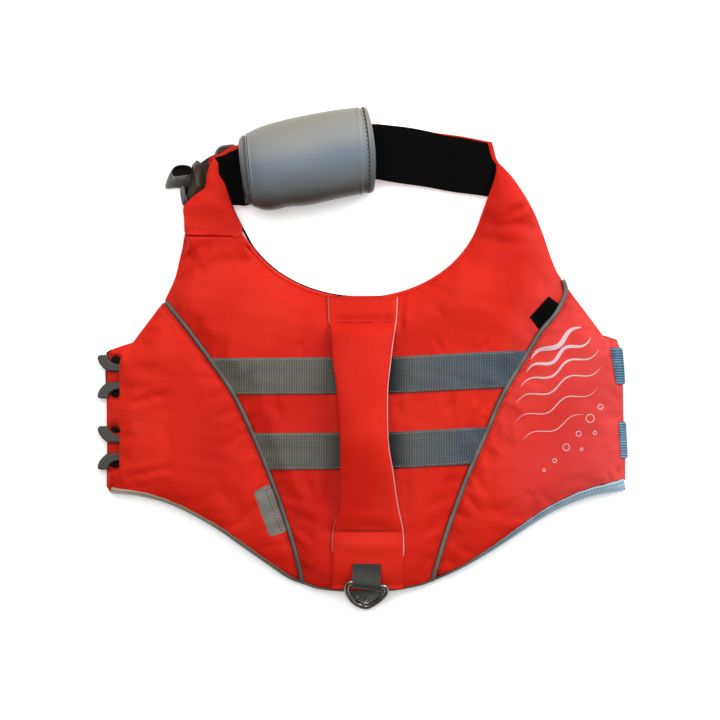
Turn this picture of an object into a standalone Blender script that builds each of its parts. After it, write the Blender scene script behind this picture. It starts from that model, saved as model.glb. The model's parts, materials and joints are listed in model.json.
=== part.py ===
"""Dog life jacket, laid out flat with its back up.

Frame: +X to the right wing, +Y to the neck, +Z up.  The origin is on the
surface the jacket lies on, below the middle of its box.  All sizes are in
millimetres and turned to metres by MM where a mesh is made.
"""
import math

import bmesh
import bpy
from mathutils import Vector
from mathutils.geometry import delaunay_2d_cdt

MM = 0.001
ORIGIN = (1.8, -1.0)         # middle of the laid-out jacket in the tables' x, y
GAP = 0.3                    # clearance between two pieces that touch

# ---------------------------------------------------------------- sizes
BELT = 38.0                  # webbing of the back bands, belts and neck strap
WEB = 1.6                    # thickness of all webbing
FOAM_BACK = 19.0             # height of the filled back panel at its middle
FOAM_SHOULDER = 13.0         # the same on the shoulders
SEWN_EDGE = 4.5              # height of a panel along its outer sewn edge
CROWN = 34.0                 # width over which an outer edge swells to full height
SEAM_SWELL = 26.0            # the same on each side of a piped seam
SEAM_DIP = 0.50              # share of the filling's height lost at a piped seam
EDGE_LIFT = 1.6              # how far the sewn edge curls up off the surface
LIFT_WIDTH = 12.0
SEAM_GAP = 0.15              # half of the clearance between two panels
PIPING_R = 2.4
PIPING_RISE = 3.3            # piping's axis above the bottom of its seam
TAPE_PROUD = 0.7             # height of the bound edges' tape over the cloth
OUTLINE_STEP = 11.0          # spacing of the points along a panel's outline

# neckline: the lower half of an ellipse
NECK = dict(x=-2.0, y=170.0, half_width=129.0, depth=105.0)

# Cut edges as control points of a smooth curve, columns x, y.
LEFT_OUTER = (               # left shoulder seam down to the piping
    (-185.0, 134.0), (-187.6, 118.0), (-190.8, 104.0), (-195.8, 84.0),
    (-206.3, 61.5))
LEFT_ARMHOLE = (             # piping out to the armhole's corner
    (-206.3, 61.5), (-222.0, 41.0), (-239.5, 17.5))
LEFT_SIDE = (                # corner round to the side edge and down it
    (-239.5, 17.5), (-262.0, 10.0), (-267.2, 4.0), (-267.2, -60.0),
    (-267.2, -136.0))
LEFT_HEM = (
    (-267.2, -136.0), (-255.0, -141.0), (-228.0, -145.0), (-203.0, -152.0),
    (-178.0, -163.5), (-152.0, -178.5), (-127.0, -196.0), (-102.0, -213.5),
    (-77.0, -230.5), (-60.6, -236.6))
BACK_HEM = (
    (-60.6, -236.6), (-45.0, -241.5), (-20.0, -244.0), (10.0, -244.5),
    (36.0, -242.8), (61.0, -238.0), (73.0, -234.0))
RIGHT_HEM = (
    (73.0, -234.0), (99.0, -222.6), (124.0, -209.0), (150.0, -193.0),
    (187.0, -168.5), (213.0, -154.5), (240.0, -144.5), (273.5, -138.0))
RIGHT_SIDE = (
    (273.5, -138.0), (276.2, -127.0), (276.2, -96.0), (274.6, -60.0),
    (273.6, -20.0), (271.2, 9.0), (267.8, 20.5))
RIGHT_ARMHOLE = (
    (252.5, 25.2), (241.0, 41.0), (225.2, 62.0), (213.2, 78.5))
RIGHT_OUTER = (              # piping up to the tip of the right shoulder
    (213.2, 78.5), (205.5, 90.0), (198.0, 108.0), (192.0, 126.0),
    (183.0, 149.0), (170.7, 171.5), (156.0, 192.5), (140.8, 208.0))
RIGHT_FOLD = (               # front of that shoulder, from its tip to the neckline
    (140.8, 208.0), (140.3, 195.5), (137.0, 183.0), (132.4, 170.6),
    (126.6, 161.8))
LEFT_PIPING = (
    (-206.3, 61.5), (-179.5, 28.5), (-155.5, -4.5), (-133.0, -38.0),
    (-113.0, -80.0), (-97.0, -119.0), (-84.2, -153.5), (-71.3, -194.0),
    (-60.6, -236.6))
RIGHT_PIPING = (
    (213.2, 78.5), (212.6, 66.7), (203.0, 47.9), (187.5, 29.2),
    (174.8, 8.5), (157.4, -20.0), (145.0, -42.5), (130.7, -76.0),
    (113.0, -116.6), (100.0, -150.0), (87.3, -186.0), (73.0, -234.0))
LEFT_END = (                 # the strap end sewn on the left shoulder, tip to seam
    (-155.2, 211.4), (-149.4, 205.0), (-149.0, 193.6), (-142.6, 183.0),
    (-134.8, 160.0), (-128.0, 144.5), (-121.9, 131.6))
LEFT_END_OUTER = (           # seam back up to its tip
    (-185.0, 134.0), (-185.4, 148.0), (-185.6, 160.0), (-172.0, 172.6),
    (-163.8, 178.4), (-161.4, 193.6), (-155.2, 211.4))

# Webbing bands sewn across the back: centre line height at the named x.
BANDS = (
    # name,        y_left, y_mid, y_right, x_right
    ("band_upper", -18.0, -17.0, -10.5, 152.0),
    ("band_lower", -96.8, -95.2, -90.5, 114.0))

# The handle: one strip, sewn flat at both ends, padded and free between.
HANDLE = (
    # y,      x_left, x_right, part
    (62.0, -34.6, 37.0, "front"),
    (38.4, -33.4, 35.4, "front"),
    (37.8, -33.4, 35.2, "grip"),
    (20.0, -31.6, 32.4, "grip"),
    (-3.0, -29.9, 29.6, "grip"),
    (-34.7, -25.5, 26.4, "grip"),
    (-84.0, -22.2, 27.0, "grip"),
    (-114.5, -22.4, 31.6, "grip"),
    (-151.2, -23.6, 37.0, "grip"),
    (-179.6, -29.0, 42.4, "grip"),
    (-180.2, -29.8, 43.2, "rear"),
    (-210.0, -30.2, 43.4, "rear"),
    (-239.6, -31.0, 43.4, "rear"))
FLAP = 2.2                   # thickness of the flat ends
GRIP_PAD = 4.6               # half thickness of the padded grip
GRIP_SEAM = 1.7              # half thickness where it is sewn down
GRIP_RISE = 19.0             # free height below the middle of the grip

# Neck strap, inside up: columns x, y of its middle line, and half width.
STRAP = (
    (-163.0, 184.0, 20.0), (-150.0, 184.5, 26.0), (-126.0, 191.8, 28.8),
    (-95.0, 200.0, 28.8), (-64.0, 207.5, 28.8), (-25.0, 214.5, 28.8),
    (12.0, 217.8, 28.8), (50.0, 212.4, 28.8), (90.0, 205.2, 28.8),
    (126.0, 198.4, 28.6), (150.0, 193.6, 28.0))
STRAP_END = (                # right end, folded under the shoulder: v across, x, x
    # v, end of the shell, end of the lining
    (0.0, 140.0, 139.0), (0.25, 147.0, 146.0), (0.5, 149.0, 147.0),
    (0.72, 141.0, 138.0), (1.0, 136.2, 133.2))
NECK_BELT = (                # webbing on the strap's outer side, columns x, y
    (-134.0, 204.8), (-140.0, 204.2), (-147.0, 201.0), (-155.0, 195.0))
SHELL = 2.4                  # red outer cloth with its filling
LINING = 2.2                 # black inside
STRAP_RIM = 1.7              # outer cloth that shows past the lining's edges
STRAP_LIFT = 4.4             # strap's height off the surface inside the sleeve

# Padded chin sleeve round the strap: columns x, y of its axis, half width, height
SLEEVE = (
    (-124.5, 194.2, 34.8, 27.0), (-118.0, 196.8, 37.6, 35.0),
    (-106.0, 200.0, 42.0, 42.0), (-88.0, 203.4, 45.0, 47.0),
    (-62.0, 207.6, 46.4, 50.0), (-40.0, 211.2, 46.2, 50.0),
    (-20.0, 214.8, 45.6, 48.0), (-4.0, 216.8, 44.2, 43.0),
    (5.0, 216.4, 41.0, 37.0), (10.5, 214.6, 37.8, 30.0))
SLEEVE_EASE = 1.9            # room in its passage on each side of the strap
SLEEVE_LEAN = -0.12          # slant of its ends: x per unit of y
ROUND_ABOVE = 0.8            # roundness of its section: 1 is an ellipse, 0 a box
ROUND_BELOW = 0.42

# Female side-release buckle, plan of one half: u towards the mouth, v across
CHEEK = (
    (5.0, 14.0), (9.5, 16.8), (11.2, 20.0), (11.8, 22.8), (20.0, 22.9),
    (22.3, 21.6), (22.5, 18.6), (20.6, 13.8), (17.0, 9.4), (12.6, 5.8),
    (0.0, 5.3))
BUCKLE_T = 6.8
BUCKLE_BACK = 8.0            # length of the body behind the slit
BUCKLE_HALF = 19.5           # half width of that body
MOUTH = 3.2                  # height of the mouth's slot
SLIT_X = -253.6              # line of the slits in the left wing
FLANGE = 3.0                 # height of the cloth under the buckles
BUCKLES = (("upper", -18.6), ("lower", -93.1))      # name, y of the middle

# Neck buckle, plan: body on edge, far cheek as a loop, its window, near cheek
NECK_BODY = (
    (-182.4, 171.2), (-175.6, 168.8), (-163.8, 176.0), (-164.8, 193.6),
    (-166.4, 202.0), (-170.2, 206.8), (-174.0, 208.2), (-177.8, 205.8),
    (-178.6, 188.0), (-181.4, 179.6))
NECK_LOOP = (
    (-176.5, 203.6), (-184.9, 204.6), (-191.0, 203.8), (-197.6, 200.4),
    (-202.4, 193.8), (-206.8, 184.0), (-206.6, 179.4), (-201.0, 178.4),
    (-192.5, 179.4), (-179.0, 178.4), (-174.5, 190.0), (-176.5, 203.6))
NECK_WINDOW = (
    (-179.6, 199.6), (-184.4, 201.8), (-190.6, 201.2), (-196.0, 197.4),
    (-198.0, 193.4), (-195.6, 191.4), (-190.0, 191.6), (-182.6, 194.0),
    (-179.6, 199.6))
NECK_LEG = (
    (-176.0, 178.0), (-189.8, 178.0), (-189.0, 164.0), (-186.0, 160.8),
    (-182.0, 165.4), (-176.0, 170.0))
NECK_BUCKLE_T = 9.2
# Belts of the right wing: columns name, y of the middle, x of the slit top/bottom
BELTS = (("upper", -7.4, 260.9, 265.8), ("lower", -85.0, 269.0, 271.2))
BELT_UNDER = 48.0            # length of belt below the wing
PLUG_LEN = 40.0
PLUG_HALF = 21.0
PLUG_T = 6.8

BELT_STEPS = 14
BELT_PROUD = 0.7             # clearance of a belt over the wing's crowned edge
# Bound edges and labels
HEM_WIDTH = ((-268.0, 8.2), (-200.0, 5.4), (-60.0, 4.0), (60.0, 4.0), (160.0, 5.6),
             (240.0, 10.5), (277.0, 13.4))         # columns x, width of the hem's tape
NECK_WIDTH = 2.6
LABEL = 1.0
PATCH = ((-97.3, -132.5), (-79.4, -181.0), (-95.8, -185.5), (-112.6, -138.6))
TAG = ((202.4, 59.2), (186.0, 32.2), (176.9, 41.8), (195.8, 64.0))

# D-ring in its webbing tab at the hem
LOOP_PLAY = 0.5              # free play of the bar in its loop
LEG_STEPS = 4
LOWER_LEG = 2.5
TAB_LEFT, TAB_RIGHT = -9.2, 19.6
TAB_TOP = -214.6
WIRE_R = 3.1
RING = (                     # the ring's wire, seen from above: bar first, then round
    (-11.0, -232.4), (21.4, -236.7), (25.2, -239.0), (25.4, -243.4), (21.6, -249.0),
    (13.0, -256.2), (4.0, -259.6), (-7.6, -254.6), (-14.8, -243.6), (-14.6, -235.0))
LOOP_TURN = 8                # steps round the bar
TAB_CLEAR = 0.9              # clearance of the tab over the flap's facets


# ---------------------------------------------------------------- plane geometry
def smooth(points, step=OUTLINE_STEP):
    """Points about step apart on a Catmull-Rom curve through the given ones."""
    pts = [Vector(p) for p in points]
    pts = [2 * pts[0] - pts[1]] + pts + [2 * pts[-1] - pts[-2]]
    out = []
    for a, b, c, d in zip(pts, pts[1:], pts[2:], pts[3:]):
        parts = max(1, round((c - b).length / step))
        for i in range(parts):
            t = i / parts
            out.append(0.5 * (2 * b + (c - a) * t + (2 * a - 5 * b + 4 * c - d) * t ** 2
                              + (3 * b - a - 3 * c + d) * t ** 3))
    return out + [pts[-2]]


def neck_arc(start, end):
    """The neckline from angle start to end, in degrees, 270 at its lowest point."""
    parts = round(abs(end - start) / 4.5)
    arc = []
    for i in range(parts + 1):
        a = math.radians(start + (end - start) * i / parts)
        arc.append(Vector((NECK["x"] + NECK["half_width"] * math.cos(a),
                           NECK["y"] + NECK["depth"] * math.sin(a))))
    return arc


def join(*runs):
    """A closed outline from runs that end where the next one starts."""
    outline = []
    for run in runs:
        outline += run[:-1]
    return outline


def to_segment(p, a, b):
    """Distance from p to the segment a, b."""
    ab = b - a
    t = max(0.0, min(1.0, (p - a).dot(ab) / max(ab.length_squared, 1e-9)))
    return (p - a - ab * t).length


def to_line(p, line, closed=False):
    """Distance from p to a run of points."""
    ends = line[1:] + line[:1] if closed else line[1:]
    return min(to_segment(p, a, b) for a, b in zip(line, ends))


def inside(p, outline):
    """Whether p lies in a closed outline."""
    hit = False
    for a, b in zip(outline, outline[1:] + outline[:1]):
        if (a.y > p.y) != (b.y > p.y):
            if p.x < a.x + (p.y - a.y) * (b.x - a.x) / (b.y - a.y):
                hit = not hit
    return hit


def inward(outline, distance):
    """Each point of a counter-clockwise outline moved in by distance."""
    moved = []
    count = len(outline)
    for i, p in enumerate(outline):
        a = (p - outline[i - 1]).normalized()
        b = (outline[(i + 1) % count] - p).normalized()
        normal = Vector((-a.y - b.y, a.x + b.x)).normalized()
        slant = max(0.5, normal.dot(Vector((-a.y, a.x))))
        moved.append(p + normal * distance / slant)
    return moved


def at(line, value, axis):
    """The other coordinate where a run of points crosses value along axis."""
    for a, b in zip(line, line[1:]):
        if (a[axis] - value) * (b[axis] - value) <= 0 and a[axis] != b[axis]:
            t = (value - a[axis]) / (b[axis] - a[axis])
            return a[1 - axis] + t * (b[1 - axis] - a[1 - axis])
    raise ValueError("line never reaches %s" % value)


def ease(t):
    """0 to 1, quick at first: the swell of filled cloth away from a seam."""
    t = max(0.0, min(1.0, t))
    return 1 - (1 - t) ** 2


def blend(t):
    """0 to 1 with level ends."""
    t = max(0.0, min(1.0, t))
    return t * t * (3 - 2 * t)


def table(rows, x):
    """The other columns of a table, read at x in its first column."""
    rows = sorted(rows)
    for a, b in zip(rows, rows[1:]):
        if x <= b[0] or b is rows[-1]:
            t = max(0.0, min(1.0, (x - a[0]) / (b[0] - a[0])))
            return [p + t * (q - p) for p, q in zip(a[1:], b[1:])]


def bound(line, width, side=1):
    """An edge moved in by the tape that binds it, width(x) wide."""
    inner = []
    for i, p in enumerate(line):
        run = line[min(i + 1, len(line) - 1)] - line[max(i - 1, 0)]
        inner.append(p + Vector((-run.y, run.x)).normalized() * width(p.x) * side)
    return inner


def hem_width(x):
    return table(HEM_WIDTH, x)[0]


def neck_width(x):
    return NECK_WIDTH


# ---------------------------------------------------------------- outlines
neckline = neck_arc(201.5, 355.5)
left_piping = smooth(LEFT_PIPING)
right_piping = smooth(RIGHT_PIPING)
right_side = smooth(RIGHT_SIDE)
right_corner = [right_side[-1], Vector(RIGHT_ARMHOLE[0])]
hem = smooth(LEFT_HEM)[:-1] + smooth(BACK_HEM)[:-1] + smooth(RIGHT_HEM)
left_end = len(smooth(LEFT_HEM)) - 1
right_end = left_end + len(smooth(BACK_HEM)) - 1
sewn_hem = bound(hem, hem_width)
sewn_neck = bound(neckline, neck_width, -1)


def shortened(line, end):
    """A piping run whose last point is where the bound hem starts."""
    return [p for p in line if (p - end).length > 3.0 and p.y > end.y] + [end]


left_seam = shortened(left_piping, sewn_hem[left_end])
right_seam = shortened(right_piping, sewn_hem[right_end])

back_outline = join(
    sewn_neck[::-1], [sewn_neck[0], Vector(LEFT_OUTER[0])], smooth(LEFT_OUTER),
    left_seam, sewn_hem[left_end:right_end + 1], right_seam[::-1],
    smooth(RIGHT_OUTER), smooth(RIGHT_FOLD)[:-1] + [sewn_neck[-1]])
left_end_outline = join(
    smooth(LEFT_END_OUTER, 8.0), smooth(LEFT_END, 8.0)[:-1] + [sewn_neck[0]],
    [sewn_neck[0], Vector(LEFT_OUTER[0])])[::-1]
left_wing_outline = join(
    smooth(LEFT_ARMHOLE), smooth(LEFT_SIDE)[:-1] + [sewn_hem[0]],
    sewn_hem[:left_end + 1], left_seam[::-1])
right_wing_outline = join(
    sewn_hem[right_end:], [sewn_hem[-1]] + right_side[1:], right_corner,
    smooth(RIGHT_ARMHOLE), right_seam)
# the outer edge of the whole jacket, which its filling thins towards
jacket_outline = join(
    neckline[::-1], smooth(LEFT_END)[::-1], smooth(LEFT_END_OUTER)[::-1],
    smooth(LEFT_OUTER), smooth(LEFT_ARMHOLE), smooth(LEFT_SIDE), smooth(LEFT_HEM),
    smooth(BACK_HEM), smooth(RIGHT_HEM), right_side, right_corner,
    smooth(RIGHT_ARMHOLE), smooth(RIGHT_OUTER), smooth(RIGHT_FOLD))


def cloth_top(x, y):
    """Height of the jacket's upper cloth above the surface it lies on."""
    p = Vector((x, y))
    to_edge = to_line(p, jacket_outline, closed=True)
    to_piping = min(to_line(p, left_piping), to_line(p, right_piping))
    full = FOAM_BACK + (FOAM_SHOULDER - FOAM_BACK) * blend((y - 50) / 70)
    swell = ease(to_edge / CROWN) * (1 - SEAM_DIP * (1 - ease(to_piping / SEAM_SWELL)))
    return SEWN_EDGE + (full - SEWN_EDGE) * swell + strap_room(x, y)


def strap_room(x, y):
    """How far a shoulder's end is held up by the neck strap below it."""
    layers = SHELL + LINING + 4 * GAP
    left = (layers + STRAP_LIFT) * blend((y - 132) / 24) if x < 0 else 0.0
    right = layers * blend((y - 140) / 22) if x > 0 else 0.0
    return max(left, right)


# ---------------------------------------------------------------- scene and helpers
def clear_scene():
    for obj in list(bpy.data.objects):
        bpy.data.objects.remove(obj, do_unlink=True)


clear_scene()
PARTS = bpy.data.collections.new("dog_life_jacket")
CUTTERS = bpy.data.collections.new("cutters")
for collection in (PARTS, CUTTERS):
    bpy.context.scene.collection.children.link(collection)


def material(name, colour, roughness, metallic=0.0):
    """A Principled material; colour is linear RGB."""
    made = bpy.data.materials.new(name)
    made.use_nodes = True
    shader = made.node_tree.nodes["Principled BSDF"]
    shader.inputs["Base Color"].default_value = (*colour, 1.0)
    shader.inputs["Roughness"].default_value = roughness
    shader.inputs["Metallic"].default_value = metallic
    return made


RED = material("red_oxford_cloth", (0.73, 0.022, 0.010), 0.60)
BLACK = material("black_neoprene", (0.005, 0.005, 0.005), 0.75)
GREY_WEB = material("grey_webbing", (0.15, 0.15, 0.14), 0.70)
GREY_COATED = material("grey_coated_cloth", (0.30, 0.33, 0.38), 0.40)
PIPING_GREY = material("grey_piping", (0.14, 0.13, 0.12), 0.45)
SILVER_TAPE = material("silver_reflective_tape", (0.36, 0.42, 0.46), 0.35)
PLASTIC = material("grey_acetal", (0.070, 0.062, 0.050), 0.45)
STEEL = material("nickel_plated_steel", (0.60, 0.58, 0.54), 0.25, 1.0)


def place(name, bm, finish, collection=PARTS, closed=True):
    """Turn a bmesh in millimetres into a named object in metres."""
    if closed:
        bmesh.ops.recalc_face_normals(bm, faces=bm.faces)
    bmesh.ops.translate(bm, vec=(-ORIGIN[0], -ORIGIN[1], 0), verts=bm.verts)
    bmesh.ops.scale(bm, vec=(MM, MM, MM), verts=bm.verts)
    mesh = bpy.data.meshes.new(name)
    bm.to_mesh(mesh)
    bm.free()
    mesh.materials.append(finish)
    mesh.shade_smooth()
    mesh.set_sharp_from_angle(angle=math.radians(40))
    obj = bpy.data.objects.new(name, mesh)
    collection.objects.link(obj)
    return obj


def padded_panel(name, outline, finish, grid=24.0, rings=(3.0, 9.0, 19.0)):
    """A filled panel: sewn thin at its edge, crowned on top, flat below."""
    edge = inward(outline, SEAM_GAP)
    points = list(edge)
    for depth in rings:
        ring = inward(edge, depth)
        points += [p for p in ring[::1 if depth < 5 else 2]
                   if inside(p, edge) and to_line(p, edge, True) > 0.85 * depth]
    xs = [p.x for p in edge]
    ys = [p.y for p in edge]
    row_height = grid * 0.87
    for row in range(int((max(ys) - min(ys)) / row_height) + 1):
        for column in range(int((max(xs) - min(xs)) / grid) + 2):
            p = Vector((min(xs) + (column - 0.5 * (row % 2)) * grid,
                        min(ys) + row * row_height))
            if inside(p, edge) and to_line(p, edge, True) > rings[-1] + 0.55 * grid:
                points.append(p)
    flat, _, faces = delaunay_2d_cdt(points, [], [list(range(len(edge)))], 1, 1e-4)[:3]
    bm = bmesh.new()
    lower = [bm.verts.new((p.x, p.y, 0)) for p in flat]
    for face in faces:
        bm.faces.new([lower[i] for i in face])
    raised = bmesh.ops.extrude_face_region(bm, geom=list(bm.faces))["geom"]
    for v in [g for g in raised if isinstance(g, bmesh.types.BMVert)]:
        v.co.z = cloth_top(v.co.x, v.co.y)
    for v in lower:
        curl = max(0.0, 1 - to_line(v.co.to_2d(), edge, True) / LIFT_WIDTH)
        v.co.z = EDGE_LIFT * curl ** 2 + strap_room(v.co.x, v.co.y)
    resting = [v for v in lower if abs(v.co.z) < 1e-6]
    bmesh.ops.dissolve_limit(
        bm, angle_limit=math.radians(0.2), verts=resting,
        edges=[e for e in bm.edges if all(abs(v.co.z) < 1e-6 for v in e.verts)])
    bmesh.ops.triangulate(bm, faces=bm.faces)
    return place(name, bm, finish)


def draped(name, across, along, point, thickness, finish):
    """A strip of cloth: point(u, v) gives its under side, u along and v across."""
    bm = bmesh.new()
    bmesh.ops.create_grid(bm, x_segments=along, y_segments=across, size=0.5)
    for v in bm.verts:
        v.co = point(v.co.x + 0.5, v.co.y + 0.5)
    obj = place(name, bm, finish, closed=False)
    wall = obj.modifiers.new("wall", "SOLIDIFY")
    wall.thickness = thickness * MM
    wall.offset = 1.0
    wall.use_even_offset = True
    return obj


def laid(name, outline, panel, base, thickness, finish):
    """A piece that lies on a panel: the panel's own upper faces, moved out by base,
    given a wall and trimmed to an outline."""
    bm = bmesh.new()
    bm.from_mesh(panel.data)
    bmesh.ops.scale(bm, vec=(1 / MM, 1 / MM, 1 / MM), verts=bm.verts)
    bmesh.ops.translate(bm, vec=(*ORIGIN, 0), verts=bm.verts)
    bm.normal_update()
    bmesh.ops.delete(bm, geom=[f for f in bm.faces if f.normal.z < 0.1], context="FACES")
    bmesh.ops.translate(bm, vec=(0, 0, base), verts=bm.verts)
    upper = bmesh.ops.extrude_face_region(bm, geom=list(bm.faces))["geom"]
    bmesh.ops.translate(bm, vec=(0, 0, thickness),
                        verts=[g for g in upper if isinstance(g, bmesh.types.BMVert)])
    piece = place(name, bm, finish)
    trim = plate("trim_" + name, outline, -60, 160, finish, collection=CUTTERS)
    trim.hide_render = True
    trim.display_type = "WIRE"
    keep = piece.modifiers.new("trim", "BOOLEAN")
    keep.operation = "INTERSECT"
    keep.solver = "EXACT"
    keep.object = trim
    return piece


def plate(name, outline, low, high, finish, round_edge=0.0, collection=PARTS):
    """A flat outline raised between two heights."""
    bm = bmesh.new()
    face = bm.faces.new([bm.verts.new((p[0], p[1], low)) for p in outline])
    top = bmesh.ops.extrude_face_region(bm, geom=[face])["geom"]
    bmesh.ops.translate(bm, vec=(0, 0, high - low),
                        verts=[g for g in top if isinstance(g, bmesh.types.BMVert)])
    if round_edge:
        rims = [e for e in bm.edges if abs(e.verts[0].co.z - e.verts[1].co.z) < 1e-6]
        bmesh.ops.bevel(bm, geom=rims, offset=round_edge, segments=2, profile=0.5,
                        affect="EDGES")
    return place(name, bm, finish, collection)


def block(name, low, high):
    """A box-shaped cutter between two corners."""
    x0, y0, z0 = low
    x1, y1, z1 = high
    cutter = plate(name, ((x0, y0), (x1, y0), (x1, y1), (x0, y1)), z0, z1, RED,
                   collection=CUTTERS)
    cutter.hide_render = True
    cutter.display_type = "WIRE"
    return cutter


def cut(obj, cutter):
    """Take a cutter's shape out of an object."""
    hole = obj.modifiers.new(cutter.name, "BOOLEAN")
    hole.operation = "DIFFERENCE"
    hole.solver = "EXACT"
    hole.object = cutter


def loft(name, rings, finish):
    """A closed skin through rings of points, capped at both ends."""
    bm = bmesh.new()
    loops = [[bm.verts.new(p) for p in ring] for ring in rings]
    for a, b in zip(loops, loops[1:]):
        for i in range(len(a)):
            j = (i + 1) % len(a)
            bm.faces.new((a[i], a[j], b[j], b[i]))
    bm.faces.new(loops[0][::-1])
    bm.faces.new(loops[-1])
    return place(name, bm, finish)


def tube(name, points, radius, finish, closed=False, origin=(*ORIGIN, 0)):
    """A round cord or wire along points."""
    curve = bpy.data.curves.new(name, "CURVE")
    curve.dimensions = "3D"
    curve.bevel_depth = radius * MM
    curve.bevel_resolution = 2
    curve.use_fill_caps = True
    spline = curve.splines.new("POLY")
    spline.points.add(len(points) - 1)
    for target, p in zip(spline.points, points):
        target.co = (*[(c - o) * MM for c, o in zip(p, origin)], 1.0)
    spline.use_cyclic_u = closed
    curve.materials.append(finish)
    obj = bpy.data.objects.new(name, curve)
    obj.location = [(o - c) * MM for o, c in zip(origin, (*ORIGIN, 0))]
    PARTS.objects.link(obj)


# ---------------------------------------------------------------- panels
def make_panels():
    back = padded_panel("back_panel", back_outline, RED)
    padded_panel("shoulder_end_left", left_end_outline, RED, rings=(3.0, 9.0))
    left = padded_panel("wing_left", left_wing_outline, RED)
    right = padded_panel("wing_right", right_wing_outline, RED)
    for name, y in BUCKLES:
        reach = BUCKLE_HALF + 4.5
        cut(left, block("notch_" + name, (SLIT_X - 25, y - reach, FLANGE),
                        (SLIT_X, y + reach, 40)))
        cut(left, block("slot_" + name, (SLIT_X - 1, y - reach + 3, FLANGE),
                        (SLIT_X + BUCKLE_BACK + GAP, y + reach - 3,
                         FLANGE + BUCKLE_T + 2 * GAP)))
    for name, y, _, _ in BELTS:
        edge = at(right_side, y, 1)
        inner = edge - BELT_UNDER
        cut(right, block("belt_way_" + name, (inner - 1, y - BELT / 2 - 0.6, -5),
                         (edge + 12, y + BELT / 2 + 0.6, WEB + 2 * GAP)))
        cut(right, block("plug_way_" + name,
                         (inner - PLUG_LEN - GAP, y - PLUG_HALF - GAP, -5),
                         (inner, y + PLUG_HALF + GAP, PLUG_T + 2 * GAP)))
    return back, left, right


def make_piping():
    for name, line in (("piping_left", left_piping), ("piping_right", right_piping)):
        tube(name, [(p.x, p.y, cloth_top(p.x, p.y) + PIPING_RISE) for p in line[1:-1]],
             PIPING_R, PIPING_GREY)


# ---------------------------------------------------------------- webbing and trim
def make_bands(back):
    clear = PIPING_R + 1.5
    for name, y_left, y_mid, y_right, x_right in BANDS:
        rows = ((-150.0, y_left), (30.0, y_mid), (x_right, y_right))
        lower, upper = [], []
        for side, edge in ((-BELT / 2, lower), (BELT / 2, upper)):
            left = at(left_piping, y_left + side, 1) + clear
            right = at(right_piping, y_right + side, 1) - clear
            for i in range(7):
                x = left + (right - left) * i / 6
                edge.append((x, table(rows, x)[0] + side))
        laid(name, lower + upper[::-1], back, GAP, WEB, GREY_WEB)


# ---------------------------------------------------------------- handle
def handle_rows(part):
    return [(y, left, right) for y, left, right, kind in HANDLE if kind == part]


def make_handle(back):
    for part in ("front", "rear"):
        rows = handle_rows(part)
        outline = [(right, y) for y, _, right in rows] + [(left, y) for y, left, _ in rows[::-1]]
        laid("handle_" + part, outline[::-1], back, GAP, FLAP, RED)

    rows = handle_rows("grip")
    start, end = rows[0][0], rows[-1][0]
    rings = []
    sections = 18
    for i in range(sections + 1):
        t = i / sections
        y = start + t * (end - start)
        left, right = table(rows, y)
        arch = math.sin(math.pi * t) ** 1.4
        pad = GRIP_SEAM + (GRIP_PAD - GRIP_SEAM) * ease(min(t, 1 - t) * 7)
        middle, half = (left + right) / 2, (right - left) / 2
        floor = max(cloth_top(middle + half * s, y) for s in (-0.8, -0.4, 0, 0.4, 0.8))
        height = floor + GAP + WEB * blend(min(t, 1 - t) * 14) + GRIP_RISE * arch + pad
        ring = []
        for k in range(12):
            a = math.tau * k / 12
            c, s = math.cos(a), math.sin(a)
            ring.append((middle + half * math.copysign(abs(c) ** 0.7, c), y,
                         height + pad * math.copysign(abs(s) ** 0.7, s)))
        rings.append(ring)
    loft("handle_grip", rings, RED)


# ---------------------------------------------------------------- neck strap and sleeve
def strap_line(x):
    y, half = table(STRAP, x)
    return y, half


def strap_height(x):
    """Under side of the strap: raised where the sleeve or the neck belt is below it."""
    return STRAP_LIFT * blend((SLEEVE[-1][0] + 66 - x) / 60)


def slot_corner(k):
    """Point k of 20 round a flat slot, each of its sides at 1 or -1."""
    quarter = ((1, 0), (1, 0.7), (1, 1), (0.66, 1), (0.33, 1), (0, 1))
    turn, i = divmod(k, 10)
    c, s = quarter[i] if i <= 5 else (-quarter[10 - i][0], quarter[10 - i][1])
    return (c, s) if turn == 0 else (-c, -s)


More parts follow.
